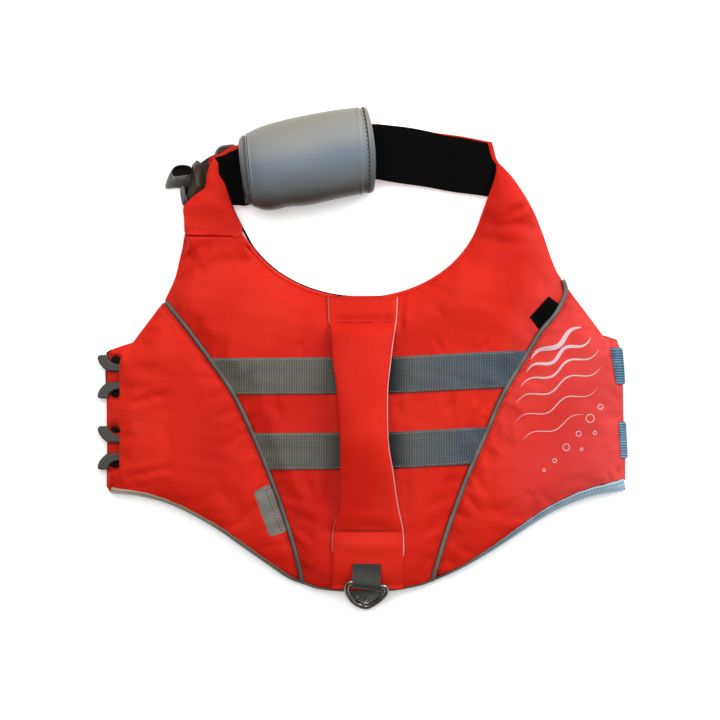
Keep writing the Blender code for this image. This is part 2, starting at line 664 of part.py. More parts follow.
def make_neck():
    first = STRAP[0][0]

    def layer(base, trim, column):
        def point(u, v):
            last = table(STRAP_END, v)[column]
            x = first + trim + u * (last - first - trim)
            y, half = strap_line(x)
            slope = (strap_line(x + 1)[0] - strap_line(x - 1)[0]) / 2
            side = (v - 0.5) * 2 * (half - trim)
            return (x - side * slope, y + side, strap_height(x) + base)
        return point

    draped("neck_strap_shell", 4, 34, layer(0.2, 0, 0), SHELL, RED)
    draped("neck_strap_lining", 4, 34, layer(0.2 + SHELL + GAP, STRAP_RIM, 1),
           LINING, BLACK)

    belt = smooth(NECK_BELT, 5.0)
    edges = [[], []]
    for i, p in enumerate(belt):
        run = (belt[min(i + 1, len(belt) - 1)] - belt[max(i - 1, 0)]).normalized()
        across = Vector((run.y, -run.x)) * BELT / 2
        edges[0].append(p + across)
        edges[1].append(p - across)
    top = strap_height(NECK_BELT[0][0]) + 0.2 - GAP
    plate("neck_belt", edges[0] + edges[1][::-1], top - WEB, top, GREY_WEB)

    outer, inner = [], []
    for x, y, half, height in SLEEVE:
        across = Vector((SLEEVE_LEAN, 1)).normalized()
        mid_y, strap_half = strap_line(x)
        low = strap_height(x) - GAP
        high = low + SHELL + LINING + 5 * GAP
        ring, slot = [], []
        for k in range(20):
            a = math.tau * k / 20
            c, s = math.cos(a), math.sin(a)
            power = ROUND_ABOVE if s >= 0 else ROUND_BELOW
            wide = half * math.copysign(abs(c) ** power, c)
            ring.append((x + across.x * wide, y + across.y * wide,
                         height / 2 * (1 + math.copysign(abs(s) ** power, s))))
            c, s = slot_corner(k)
            wide = (strap_half + SLEEVE_EASE) * c
            slot.append((x + across.x * wide, mid_y + across.y * wide,
                         low + (high - low) * (0.5 + 0.5 * s)))
        outer.append(ring)
        inner.append(slot)
    bm = bmesh.new()
    skins = [[[bm.verts.new(p) for p in ring] for ring in skin] for skin in (outer, inner)]
    for loops in skins:
        for a, b in zip(loops, loops[1:]):
            for i in range(20):
                bm.faces.new((a[i], a[i - 1], b[i - 1], b[i]))
    for end in (0, -1):
        a, b = skins[0][end], skins[1][end]
        for i in range(20):
            bm.faces.new((a[i], a[i - 1], b[i - 1], b[i]))
    place("chin_sleeve", bm, GREY_COATED)


# ---------------------------------------------------------------- bound edges, labels
def bound_edge(name, line, width, side, finish):
    """Tape folded round a sewn edge: the strip between the edge and its stitches."""
    rings = []
    for p, q in zip(line, bound(line, lambda x: width(x) - GAP, side)):
        mid = p.lerp(q, 0.5)
        rim = p.lerp(q, 0.12)
        top = cloth_top(q.x, q.y) + TAPE_PROUD
        rings.append((
            (p.x, p.y, EDGE_LIFT), (rim.x, rim.y, 0.5), (q.x, q.y, 0.5),
            (q.x, q.y, top), (mid.x, mid.y, cloth_top(mid.x, mid.y) + TAPE_PROUD),
            (rim.x, rim.y, SEWN_EDGE), (p.x, p.y, SEWN_EDGE - 1.2)))
    loft(name, rings, finish)


def make_trim(back, left):
    bound_edge("hem_binding", hem, hem_width, 1, SILVER_TAPE)
    bound_edge("neckline_binding", neckline, neck_width, -1, PIPING_GREY)
    laid("side_patch", PATCH, left, GAP, LABEL, GREY_COATED)
    laid("piping_tag", TAG, back, GAP, LABEL, BLACK)


# ---------------------------------------------------------------- tab and D-ring
def tab_floor(x, y):
    """The flap's upper face near a point, that the webbing tab lies on."""
    near = max(cloth_top(x + dx, y + dy) for dx in (-4, 0, 4) for dy in (-4, 0, 4))
    return near + GAP + FLAP


BAR_A, BAR_B = Vector(RING[0]), Vector(RING[1])
BAR_RUN = (BAR_B - BAR_A).normalized()
BAR_ACROSS = Vector((BAR_RUN.y, -BAR_RUN.x))         # from the bar to the far side
LOOP_R = WIRE_R + GAP + LOOP_PLAY                    # inner radius of the tab's loop
BAR_Z = tab_floor(*(BAR_A + BAR_B) / 2) + WEB + LOOP_R + 0.4


def make_ring():
    reach = max((Vector(p) - BAR_A).dot(BAR_ACROSS) for p in RING)
    drop = (BAR_Z - WIRE_R - GAP) / reach
    points = [(p.x, p.y, BAR_Z - max(0.0, (p - BAR_A).dot(BAR_ACROSS)) * drop)
              for p in smooth(RING + RING[:1], 4.0)[:-1]]
    tube("d_ring", points, WIRE_R, STEEL, closed=True, origin=(*(BAR_A + BAR_B) / 2, BAR_Z))

    outer = LOOP_R + WEB

    def point(u, v):
        """Outer side: a short leg under the bar, round it, and back over the flap."""
        x = TAB_LEFT + v * (TAB_RIGHT - TAB_LEFT)
        bar_y = BAR_A.y + (x - BAR_A.x) * BAR_RUN.y / BAR_RUN.x
        k = round(u * (2 * LEG_STEPS + LOOP_TURN))
        if k < LEG_STEPS:
            return (x, bar_y + LOWER_LEG * (1 - k / LEG_STEPS), BAR_Z - outer)
        if k <= LEG_STEPS + LOOP_TURN:
            turn = math.radians(270 - 180 * (k - LEG_STEPS) / LOOP_TURN)
            return (x, bar_y + outer * math.cos(turn), BAR_Z + outer * math.sin(turn))
        s = (k - LEG_STEPS - LOOP_TURN) / LEG_STEPS
        y = bar_y + s * (TAB_TOP - bar_y)
        rest = tab_floor(x, y) + TAB_CLEAR + WEB
        return (x, y, rest + (BAR_Z + outer - rest) * (1 - blend(s)))

    draped("ring_tab", 2, 2 * LEG_STEPS + LOOP_TURN, point, WEB, GREY_WEB)


# ---------------------------------------------------------------- buckles and belts
def buckle_plan():
    """Plan of the female buckle: u towards the mouth, v across."""
    half = [(-BUCKLE_BACK, BUCKLE_HALF), (-0.6, BUCKLE_HALF), (-0.6, 13.4)] + list(CHEEK)
    return half + [(u, -v) for u, v in half[::-1]]


def make_belly_buckles():
    for name, y in BUCKLES:
        plan = [(SLIT_X - u, y + v) for u, v in buckle_plan()]
        low = FLANGE + GAP
        body = plate("belly_buckle_" + name, plan, low, low + BUCKLE_T, PLASTIC, 1.3)
        middle = low + BUCKLE_T / 2
        cut(body, block("mouth_" + name, (SLIT_X - 40, y - 26, middle - MOUTH / 2),
                        (SLIT_X + BUCKLE_BACK - 2.4, y + 26, middle + MOUTH / 2)))


def make_neck_buckle():
    """Buckle of the neck belt, lying askew: one cheek shows as a loop with its
    window, then the body on edge, then the other cheek."""
    low = GAP
    body = plate("neck_buckle", NECK_BODY, low, low + NECK_BUCKLE_T, PLASTIC, 1.2)
    loop = plate("cheek_far", smooth(NECK_LOOP, 4.0), low + 1.0, low + NECK_BUCKLE_T - 1.4,
                 PLASTIC, 1.0, CUTTERS)
    leg = plate("cheek_near", NECK_LEG, low + 0.6, low + 6.0, PLASTIC, 1.0, CUTTERS)
    window = plate("window", smooth(NECK_WINDOW, 4.0), -5, 30, PLASTIC, 0, CUTTERS)
    for cheek in (loop, leg, window):
        cheek.hide_render = True
        cheek.display_type = "WIRE"
    for cheek, kind in ((loop, "UNION"), (leg, "UNION"), (window, "DIFFERENCE")):
        step = body.modifiers.new(cheek.name, "BOOLEAN")
        step.operation = kind
        step.solver = "EXACT"
        step.object = cheek


def plug_plan():
    """Plan of the male plug: u towards its prongs, v across, one closed outline."""
    half = [(0, PLUG_HALF - 2), (11, PLUG_HALF - 2), (12, PLUG_HALF - 4),
            (27, PLUG_HALF - 5), (28, PLUG_HALF - 0.5), (36, PLUG_HALF - 6),
            (38, PLUG_HALF - 9), (34, PLUG_HALF - 10), (16, PLUG_HALF - 10),
            (16, 3), (35, 3)]
    return half + [(u, -v) for u, v in half[::-1]]


def make_belts():
    for name, y, top_x, bottom_x in BELTS:
        inner = at(right_side, y, 1) - BELT_UNDER

        def point(u, v, y=y, top_x=top_x, bottom_x=bottom_x, inner=inner):
            """Inner side: from the slit, over the edge, back under the wing."""
            side = y + (v - 0.5) * BELT
            edge = at(right_side, side, 1) + GAP + 0.4
            slit = bottom_x + v * (top_x - bottom_x)
            k = round(u * BELT_STEPS)
            rim = cloth_top(edge - 1.5, side) + GAP
            if k <= 4:
                x = slit + (edge - 1.2 - slit) * k / 4
                return (x, side, cloth_top(x, side) + BELT_PROUD)
            if k <= 8:
                t = (k - 4) / 4
                return (edge + 1.0 * math.sin(math.pi * t) ** 0.5, side,
                        rim + (WEB + 0.2 - rim) * t)
            s = (k - 8) / (BELT_STEPS - 8)
            return (edge - 1.0 - s * (edge - 1.0 - inner - GAP), side, WEB + 0.2)

        draped("side_belt_" + name, 3, BELT_STEPS, point, WEB, GREY_WEB)
        plan = [(inner - GAP - u, y + v) for u, v in plug_plan()]
        plate("belt_plug_" + name, plan, GAP, GAP + PLUG_T, PLASTIC, 1.0)


back_panel, wing_left, wing_right = make_panels()
make_piping()
make_bands(back_panel)
make_handle(back_panel)
make_neck()
make_trim(back_panel, wing_left)
make_ring()
make_belly_buckles()
make_neck_buckle()
make_belts()
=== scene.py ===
"""Dog life jacket laid out flat, back up: the looks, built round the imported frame.

Lengths are millimetres on the jacket's cutting pattern: x to the right wing, y to the neck,
z up from the surface it lies on.  They turn to the frame's metres where a point is made.
"""
import json
import math
import random

import bmesh
import bpy
import numpy as np
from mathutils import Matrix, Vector
from mathutils.bvhtree import BVHTree


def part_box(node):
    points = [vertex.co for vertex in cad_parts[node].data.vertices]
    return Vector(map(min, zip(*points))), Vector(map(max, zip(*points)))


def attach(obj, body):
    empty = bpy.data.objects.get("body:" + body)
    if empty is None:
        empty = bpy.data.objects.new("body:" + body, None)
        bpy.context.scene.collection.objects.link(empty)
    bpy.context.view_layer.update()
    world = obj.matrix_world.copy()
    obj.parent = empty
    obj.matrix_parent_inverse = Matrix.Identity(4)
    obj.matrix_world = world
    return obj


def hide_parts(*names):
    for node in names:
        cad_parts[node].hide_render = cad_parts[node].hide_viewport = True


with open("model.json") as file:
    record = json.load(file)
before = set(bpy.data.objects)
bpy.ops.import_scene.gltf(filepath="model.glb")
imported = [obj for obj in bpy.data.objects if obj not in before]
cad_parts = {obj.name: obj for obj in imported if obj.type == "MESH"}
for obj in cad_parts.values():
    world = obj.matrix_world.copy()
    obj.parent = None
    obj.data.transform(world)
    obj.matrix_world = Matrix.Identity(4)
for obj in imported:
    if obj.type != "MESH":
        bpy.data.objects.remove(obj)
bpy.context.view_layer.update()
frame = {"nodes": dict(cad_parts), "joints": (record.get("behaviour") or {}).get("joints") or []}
bpy.ops.object.select_all(action="DESELECT")

# ------------------------------------------------------------------ view, floor and light
# The jacket lies on a pale table and is seen from straight above, under soft light that
# comes from its upper right.
MM = 0.001
VIEW_WIDTH = 756.0
VIEW_MIDDLE = (-3.4, -0.1)
CAMERA_HEIGHT = 2400.0
SENSOR = 36.0


def at(x, y, z=0.0):
    """A frame position in millimetres as a point in metres."""
    return Vector((x * MM, y * MM, z * MM))


bpy.ops.object.camera_add(location=at(*VIEW_MIDDLE, CAMERA_HEIGHT))
camera = bpy.context.object
camera.data.sensor_width = SENSOR
camera.data.lens = SENSOR * CAMERA_HEIGHT / VIEW_WIDTH
camera.data.clip_end = 50
bpy.context.scene.camera = camera
bpy.context.scene.view_settings.view_transform = "Standard"

LIGHTS = (
    # name, place, size, watts, colour
    ("window_upper_right", (1250, 950, 1050), 900, 20.8, (0.93, 0.965, 1.0)),
    ("ceiling", (-430, 620, 1650), 1200, 15.6, (1.0, 0.985, 0.96)),
)
for name, place, size, watts, colour in LIGHTS:
    bpy.ops.object.light_add(type="AREA", location=at(*place))
    light = bpy.context.object
    light.name = name
    light.data.size = size * MM
    light.data.energy = watts
    light.data.color = colour
    light.rotation_euler = (-light.location).to_track_quat("-Z", "Y").to_euler()

bpy.ops.mesh.primitive_plane_add(size=12, location=at(0, 0, -0.4))
floor = bpy.context.object
floor.name = "table_top"


def linear(code):
    """An sRGB hex value as linear RGBA."""
    parts = [int(code[i:i + 2], 16) / 255 for i in (1, 3, 5)]
    return (*[c / 12.92 if c <= 0.04045 else ((c + 0.055) / 1.055) ** 2.4 for c in parts], 1.0)


def add(tree, kind, links=None, **settings):
    """Add a node: settings go to its fields, links to its inputs as sockets or values."""
    made = tree.nodes.new(kind)
    for field, value in settings.items():
        setattr(made, field, value)
    for socket, value in (links or {}).items():
        if isinstance(value, bpy.types.NodeSocket):
            tree.links.new(value, made.inputs[socket])
        else:
            made.inputs[socket].default_value = value
    return made


def finish_named(name, **sockets):
    """A new material with its shader's plain values: returns it, its tree and its shader."""
    made = bpy.data.materials.new(name)
    made.use_nodes = True
    shader = made.node_tree.nodes["Principled BSDF"]
    for socket, value in sockets.items():
        shader.inputs[socket.replace("_", " ")].default_value = value
    return made, made.node_tree, shader


# A light table's opal acrylic: matt, near white, with a faint glow that softens shadows.
table_paint, _, _ = finish_named("opal_acrylic", Base_Color=linear("#F4F4F3"),
                                 Roughness=0.9, Emission_Color=linear("#FFFFFF"),
                                 Emission_Strength=0.3)
floor.data.materials.append(table_paint)


def ramp(tree, factor, *stops):
    """A colour ramp with (place, hex) stops."""
    made = add(tree, "ShaderNodeValToRGB", {"Fac": factor})
    band = made.color_ramp
    while len(band.elements) < len(stops):
        band.elements.new(0.5)
    for element, (place, code) in zip(band.elements, stops):
        element.position = place
        element.color = linear(code)
    return made.outputs["Color"]


# The room: pale walls towards the window, darker ones behind the viewer's side.
room = bpy.data.worlds.new("studio")
bpy.context.scene.world = room
room.use_nodes = True
way = add(room.node_tree, "ShaderNodeTexCoord").outputs["Generated"]
towards = add(room.node_tree, "ShaderNodeVectorMath", {0: way, 1: (0.45, 0.85, 0.25)},
              operation="DOT_PRODUCT").outputs["Value"]
wall = add(room.node_tree, "ShaderNodeMapRange", {"Value": towards, "From Min": -0.9,
                                                  "From Max": 0.95}).outputs["Result"]
backdrop = room.node_tree.nodes["Background"]
room.node_tree.links.new(ramp(room.node_tree, wall, (0.0, "#6E6962"), (0.36, "#A39E96"),
                              (0.6, "#D8E2EE"), (0.85, "#FFFCF6"), (1.0, "#FFFFFF")),
                         backdrop.inputs["Color"])
backdrop.inputs["Strength"].default_value = 0.85

# ------------------------------------------------------------------ outer cloth
# Red 600 denier polyester oxford, a plain weave with a coated back.  It is matt, and towards
# the window on the right its colour is mixed with pink: a painted sheen of the window's light.
PATTERN_ORIGIN = (1.8, -1.0)      # the frame's origin on the cutting pattern
THREAD = 0.9                      # real threads are 0.5 mm apart: drawn coarser to show
PAINTED_SHEEN = 0.20                      # how far a painted pink sheen lightens the cloth on the right, towards the window


def plain_weave(tree, coordinates, pitch):
    """Height of a plain weave: threads over and under each other, pitch apart."""
    scale = math.pi / 10 / (pitch * MM)
    waves = [add(tree, "ShaderNodeTexWave", {"Vector": coordinates, "Scale": scale},
                 bands_direction=axis).outputs["Fac"] for axis in "XY"]
    both = add(tree, "ShaderNodeMath", {0: waves[0], 1: waves[1]}, operation="SUBTRACT")
    return add(tree, "ShaderNodeMath", {0: both.outputs[0]}, operation="ABSOLUTE").outputs[0]


def red_oxford(name, dark, middle, light):
    made, tree, shader = finish_named(name, Roughness=0.5, Sheen_Weight=0.03,
                                      Sheen_Roughness=0.4, Specular_IOR_Level=0.08,
                                      Sheen_Tint=linear("#FFA090"))
    place = add(tree, "ShaderNodeTexCoord").outputs["Object"]
    cloudy = add(tree, "ShaderNodeTexNoise", {"Vector": place, "Scale": 9.0, "Detail": 2.0,
                                              "Roughness": 0.5})
    fine = add(tree, "ShaderNodeTexNoise", {"Vector": place, "Scale": 420.0, "Detail": 3.0})
    mixed = add(tree, "ShaderNodeMix", {"Factor": 0.22, "A": cloudy.outputs["Fac"],
                                        "B": fine.outputs["Fac"]}, data_type="FLOAT")
    dyed = ramp(tree, mixed.outputs["Result"], (0.32, dark), (0.5, middle), (0.68, light))
    side = add(tree, "ShaderNodeSeparateXYZ", {0: place}).outputs["X"]
    patchy = add(tree, "ShaderNodeMath", {0: cloudy.outputs["Fac"], 1: 0.12, 2: side},
                 operation="MULTIPLY_ADD").outputs[0]
    # Painted sheen: towards the right the colour is mixed with pink, standing in for window light on the
    # nap.
    sheen_share = add(tree, "ShaderNodeMapRange", {"Value": patchy, "From Min": 0.21, "From Max": 0.31,
                                             "To Max": PAINTED_SHEEN}).outputs["Result"]
    wear_and_sheen = add(tree, "ShaderNodeMixRGB", {"Fac": sheen_share, "Color1": dyed, "Color2": linear("#E07A7C")},
               ).outputs["Color"]
    tree.links.new(wear_and_sheen, shader.inputs["Base Color"])
    bump = add(tree, "ShaderNodeBump", {"Height": plain_weave(tree, place, THREAD),
                                        "Strength": 0.35, "Distance": 0.00012})
    tree.links.new(bump.outputs["Normal"], shader.inputs["Normal"])
    return made


red_cloth = red_oxford("red_oxford_cloth", "#BA180A", "#C81F10", "#D12818")

# The inside is black neoprene, fine and matt, and shows only at edges.
black_lining, tree, shader = finish_named("black_neoprene_lining", Roughness=0.85,
                                          Specular_IOR_Level=0.04)
place = add(tree, "ShaderNodeTexCoord").outputs["Object"]
pile = add(tree, "ShaderNodeTexNoise", {"Vector": place, "Scale": 900.0, "Detail": 2.0})
tree.links.new(ramp(tree, pile.outputs["Fac"], (0.3, "#020202"), (0.7, "#0B0B0A")),
               shader.inputs["Base Color"])
bump = add(tree, "ShaderNodeBump", {"Height": pile.outputs["Fac"], "Strength": 0.3,
                                    "Distance": 0.0002})
tree.links.new(bump.outputs["Normal"], shader.inputs["Normal"])

# ------------------------------------------------------------------ panels
# Back, two wings and the left shoulder's end: foam sheets sewn into red cloth.  They lie
# flat below and are crowned above; the foam pushes the cloth up between the seams, the
# sewing draws it into small gathers, and the webbing under it prints through.
SHOULDER_SEAM = [Vector((-187.0, 134.0)), Vector((-120.0, 131.5))]
CREASES = (
    # ends of a soft trough on the pattern, depth, half width
    ((-244, -47), (-203, -37), 0.9, 4.0), ((-243, -123), (-202, -114), 1.0, 4.0),
    ((-203, -37), (-202, -114), 0.5, 6.0), ((-36, 38), (38, 38), 1.6, 8.0), ((42, 68), (39, 22), 1.2, 4.0),
    ((-34, -180), (46, -180), 1.5, 8.0), ((249, 29), (259, 20), 1.5, 2.4),
    ((258, 23), (263, -12), 1.1, 2.4), ((-187, 103), (-155, 122), 1.7, 6.5),
    ((-176, 92), (-146, 100), 1.0, 7.0), ((157, 151), (173, 163), 1.6, 4.5),
    ((257, 20), (250, 4), 1.2, 4.5),
    ((267, -113), (270, -127), 0.9, 2.4), ((256, -117), (259, -128), 0.7, 2.4),
    ((186, -147), (176, -168), 1.2, 5.5), ((205, -136), (196, -156), 0.8, 5.0),
    ((79, 20), (82, 8), 1.0, 3.5), ((130, 19), (128, 10), 0.8, 3.5),
    ((40, -42), (36, -56), 1.0, 4.0), ((93, -42), (88, -60), 1.2, 5.0),
    ((127, -44), (122, -60), 0.9, 4.0), ((46, -125), (43, -165), 1.3, 6.0),
    ((93, -120), (88, -160), 1.1, 7.0), ((-31, -120), (-36, -175), 1.2, 7.0),
    ((-60, -118), (-52, -150), 0.8, 6.0), ((-92, -42), (-84, -62), 0.7, 5.0),
    ((-62, 20), (-66, 8), 0.7, 4.0), ((140, 60), (168, 40), 0.8, 9.0),
    ((176, 100), (196, 66), 0.9, 9.0), ((-215, 40), (-190, 8), 0.9, 9.0),
    ((-150, -130), (-118, -176), 0.9, 9.0), ((142, -120), (132, -170), 0.8, 8.0),
    ((-238, -8), (-205, -14), 0.8, 6.0), ((214, 24), (226, -12), 0.8, 9.0),
    ((60, 62), (104, 100), 0.7, 11.0), ((-110, 60), (-70, 72), 0.7, 10.0),
)
LEFT_PIPING = (
    (-206.3, 61.5), (-179.5, 28.5), (-155.5, -4.5), (-133.0, -38.0),
    (-113.0, -80.0), (-97.0, -119.0), (-84.2, -153.5), (-71.3, -194.0),
    (-60.6, -236.6))
RIGHT_PIPING = (
    (209.6, 84.5), (213.0, 76.5), (212.6, 66.7), (203.0, 47.9), (187.5, 29.2),
    (174.8, 8.5), (157.4, -20.0), (145.0, -42.5), (130.7, -76.0),
    (113.0, -116.6), (100.0, -150.0), (87.3, -186.0), (73.0, -234.0))
BAND_ROWS = (
    # name,        y_left, y_mid, y_right, x_right
    ("band_upper", -18.0, -17.0, -10.5, 152.0),
    ("band_lower", -96.8, -95.2, -90.5, 114.0))
BELT = 38.0
GATHER_DEPTH = 0.34
GATHER_REACH = 9.0


def on_pattern(x, y, z=0.0):
    """A point of the cutting pattern in the frame, in metres."""
    return at(x - PATTERN_ORIGIN[0], y - PATTERN_ORIGIN[1], z)


def smooth(points, step):
    """Points about step apart on a Catmull-Rom curve through the given ones."""
    pts = [Vector(p) for p in points]
    pts = [2 * pts[0] - pts[1]] + pts + [2 * pts[-1] - pts[-2]]
    out = []
    for a, b, c, d in zip(pts, pts[1:], pts[2:], pts[3:]):
        parts = max(1, round((c - b).length / step))
        for i in range(parts):
            t = i / parts
            out.append(0.5 * (2 * b + (c - a) * t + (2 * a - 5 * b + 4 * c - d) * t ** 2
                              + (3 * b - a - 3 * c + d) * t ** 3))
    return out + [pts[-2]]


def read_table(rows, x):
    """The other columns of a table, read at x in its first column."""
    rows = sorted(rows)
    for a, b in zip(rows, rows[1:]):
        if x <= b[0] or b is rows[-1]:
            t = max(0.0, min(1.0, (x - a[0]) / (b[0] - a[0])))
            return [p + t * (q - p) for p, q in zip(a[1:], b[1:])]


def band_line(row, side=0.0):
    """Points along a band, side off its middle line."""
    _, y_left, y_mid, y_right, x_right = row
    table = ((-150.0, y_left), (30.0, y_mid), (x_right, y_right))
    return [Vector((x, read_table(table, x)[0] + side)) for x in range(-160, 161, 8)]


def beside(points, line):
    """Distance of each point to a line, how far along the line it is nearest, and where."""
    best = np.full(len(points), 1e9)
    along = np.zeros(len(points))
    spot = points.copy()
    run = 0.0
    for a, b in zip(line, line[1:]):
        a, b = np.array(a[:2]), np.array(b[:2])
        ab = b - a
        length = max(float(np.hypot(*ab)), 1e-6)
        t = np.clip(((points - a) @ ab) / length ** 2, 0, 1)
        here = a + t[:, None] * ab
        gap = np.hypot(*(points - here).T)
        nearer = gap < best
        best[nearer] = gap[nearer]
        along[nearer] = run + t[nearer] * length
        spot[nearer] = here[nearer]
        run += length
    return best, along, spot


def ripple(points, wavelength, seed):
    """Smooth uneven height from -1 to 1 with bumps about a wavelength across."""
    draw = random.Random(seed)
    height = np.zeros(len(points))
    for _ in range(7):
        angle = draw.uniform(0, math.tau)
        k = math.tau / (wavelength * draw.uniform(0.75, 1.5))
        height += np.sin(points @ (k * np.array((math.cos(angle), math.sin(angle))))
                         + draw.uniform(0, math.tau))
    return height / 3.2


left_seam = smooth(LEFT_PIPING, 5.0)
right_seam = smooth(RIGHT_PIPING, 5.0)
GATHERED = [left_seam, right_seam, SHOULDER_SEAM] + [band_line(row, side) for row in BAND_ROWS
                                      for side in (-BELT / 2, BELT / 2)]


CREASE_SCALE = 1.5


def relief(points):
    """Height that creases, gathers and the soft foam add to the cloth, on the pattern."""
    height = 0.36 * ripple(points, 62.0, 3) + 0.18 * ripple(points, 21.0, 8)
    for start, end, depth, width in CREASES:
        gap, along, _ = beside(points, (start, end))
        length = math.dist(start, end)
        fade = np.sin(np.clip(along / length, 0.04, 0.96) * math.pi) ** 0.6
        depth *= CREASE_SCALE
        wander = 1 + 0.35 * ripple(points, 18.0, 5)
        height -= depth * fade * wander * np.exp(-(gap / width) ** 2)
        height += 0.45 * depth * fade * np.exp(-((gap - 1.9 * width) / width) ** 2)
    for seed, line in enumerate(GATHERED):
        gap, along, _ = beside(points, line)
        wave = ripple(np.column_stack((along, gap * 0.15)), 11.0, 20 + seed)
        height += GATHER_DEPTH * wave * np.exp(-gap / GATHER_REACH)
    return height


def copy_of(node, name):
    """A new piece with the shape of a CAD node, its doubles merged."""
    source = frame["nodes"][node]
    mesh = source.data.copy()
    mesh.transform(source.matrix_world)
    mesh.materials.clear()
    bm = bmesh.new()
    bm.from_mesh(mesh)
    bmesh.ops.remove_doubles(bm, verts=bm.verts, dist=1e-6)
    bm.to_mesh(mesh)
    bm.free()
    piece = bpy.data.objects.new(name, mesh)
    bpy.context.scene.collection.objects.link(piece)
    return piece


def change(piece, kind, **settings):
    """Put a modifier on a piece and apply it."""
    step = piece.modifiers.new(kind.lower(), kind)
    for field, value in settings.items():
        setattr(step, field, value)
    bpy.context.view_layer.objects.active = piece
    piece.select_set(True)
    bpy.ops.object.modifier_apply(modifier=step.name)
    piece.select_set(False)


def subdivide(piece, levels=1):
    change(piece, "SUBSURF", levels=levels, render_levels=levels)


def points_of(piece):
    """A piece's points as an array on the pattern, in millimetres."""
    flat = np.empty(len(piece.data.vertices) * 3)
    piece.data.vertices.foreach_get("co", flat)
    return flat.reshape(-1, 3) / MM + (*PATTERN_ORIGIN, 0.0)


def normals_of(piece):
    flat = np.empty(len(piece.data.vertices) * 3)
    piece.data.vertex_normals.foreach_get("vector", flat)
    return flat.reshape(-1, 3)


def set_points(piece, points):
    piece.data.vertices.foreach_set("co", ((points - (*PATTERN_ORIGIN, 0.0)) * MM).ravel())
    piece.data.update()


def puff(piece, cap, slack, free_above):
    """Let the foam press on the cloth: pressure in a cloth simulation, no point moving
    more than cap.  Points whose normal is lower than free_above are held by the sewing."""
    before = points_of(piece)
    held = piece.vertex_groups.new(name="sewn")
    facing_up = normals_of(piece)[:, 2]
    held.add([int(i) for i in np.flatnonzero(facing_up < free_above)], 1.0, "REPLACE")
    cloth = piece.modifiers.new("foam", "CLOTH")
    cloth.settings.quality = 4
    cloth.settings.mass = 0.2
    cloth.settings.bending_stiffness = 0.6
    cloth.settings.compression_stiffness = 6
    cloth.settings.use_pressure = True
    cloth.settings.uniform_pressure_force = 4
    cloth.settings.shrink_min = -slack
    cloth.settings.vertex_group_mass = held.name
    cloth.settings.effector_weights.gravity = 0
    cloth.point_cache.frame_end = 20
    for step in range(1, 21):
        bpy.context.scene.frame_set(step)
    bpy.context.view_layer.objects.active = piece
    bpy.ops.object.modifier_apply(modifier=cloth.name)
    bpy.context.scene.frame_set(1)
    piece.vertex_groups.clear()
    moved = points_of(piece) - before
    far = np.linalg.norm(moved, axis=1)
    moved *= np.minimum(1.0, cap / np.maximum(far, 1e-9))[:, None]
    set_points(piece, before + moved)


def tree_of(*pieces):
    """A search tree over the outer faces of pieces."""
    corners, faces = [], []
    for piece in pieces:
        start = len(corners)
        corners += [v.co.copy() for v in piece.data.vertices]
        faces += [[start + i for i in p.vertices] for p in piece.data.polygons]
    return BVHTree.FromPolygons(corners, faces)


LEFT_HEM = (
    (-262.2, -141.2), (-245.0, -142.6), (-228.0, -145.0), (-203.0, -152.0),
    (-178.0, -163.5), (-152.0, -178.5), (-127.0, -196.0), (-102.0, -213.5),
    (-77.0, -230.5), (-60.6, -236.6))
BACK_HEM = (
    (-60.6, -236.6), (-45.0, -241.5), (-20.0, -244.0), (10.0, -244.5),
    (36.0, -242.8), (61.0, -238.0), (73.0, -234.0))
RIGHT_HEM = (
    (73.0, -234.0), (99.0, -222.6), (124.0, -209.0), (150.0, -193.0),
    (187.0, -168.5), (213.0, -154.5), (240.0, -144.5), (262.0, -140.2), (277.0, -137.4))
HEM_SEWN = ((-268.0, 8.2), (-200.0, 5.4), (-60.0, 4.0), (60.0, 4.0), (160.0, 5.6),
            (240.0, 10.5), (277.0, 13.4))
HEM_SHOWS = ((-268.0, 7.0), (-245.0, 6.4), (-212.0, 5.2), (-182.0, 4.8), (-130.0, 5.4),
             (-80.0, 4.8), (-60.0, 3.2), (60.0, 2.6), (105.0, 3.4), (133.0, 5.2),
             (160.0, 6.6), (190.0, 8.0), (240.0, 9.8), (277.0, 12.6))
LAP = 1.5                         # tape that rests on the panels
hem_line = smooth(LEFT_HEM, 4.0)[:-1] + smooth(BACK_HEM, 4.0)[:-1] + smooth(RIGHT_HEM, 4.0)
for end, step in ((0, 1), (-1, -1)):      # a short last step keeps the tape's end square
    hem_line.insert(1 if step > 0 else -1,
                    hem_line[end].lerp(hem_line[end + step], 0.12))


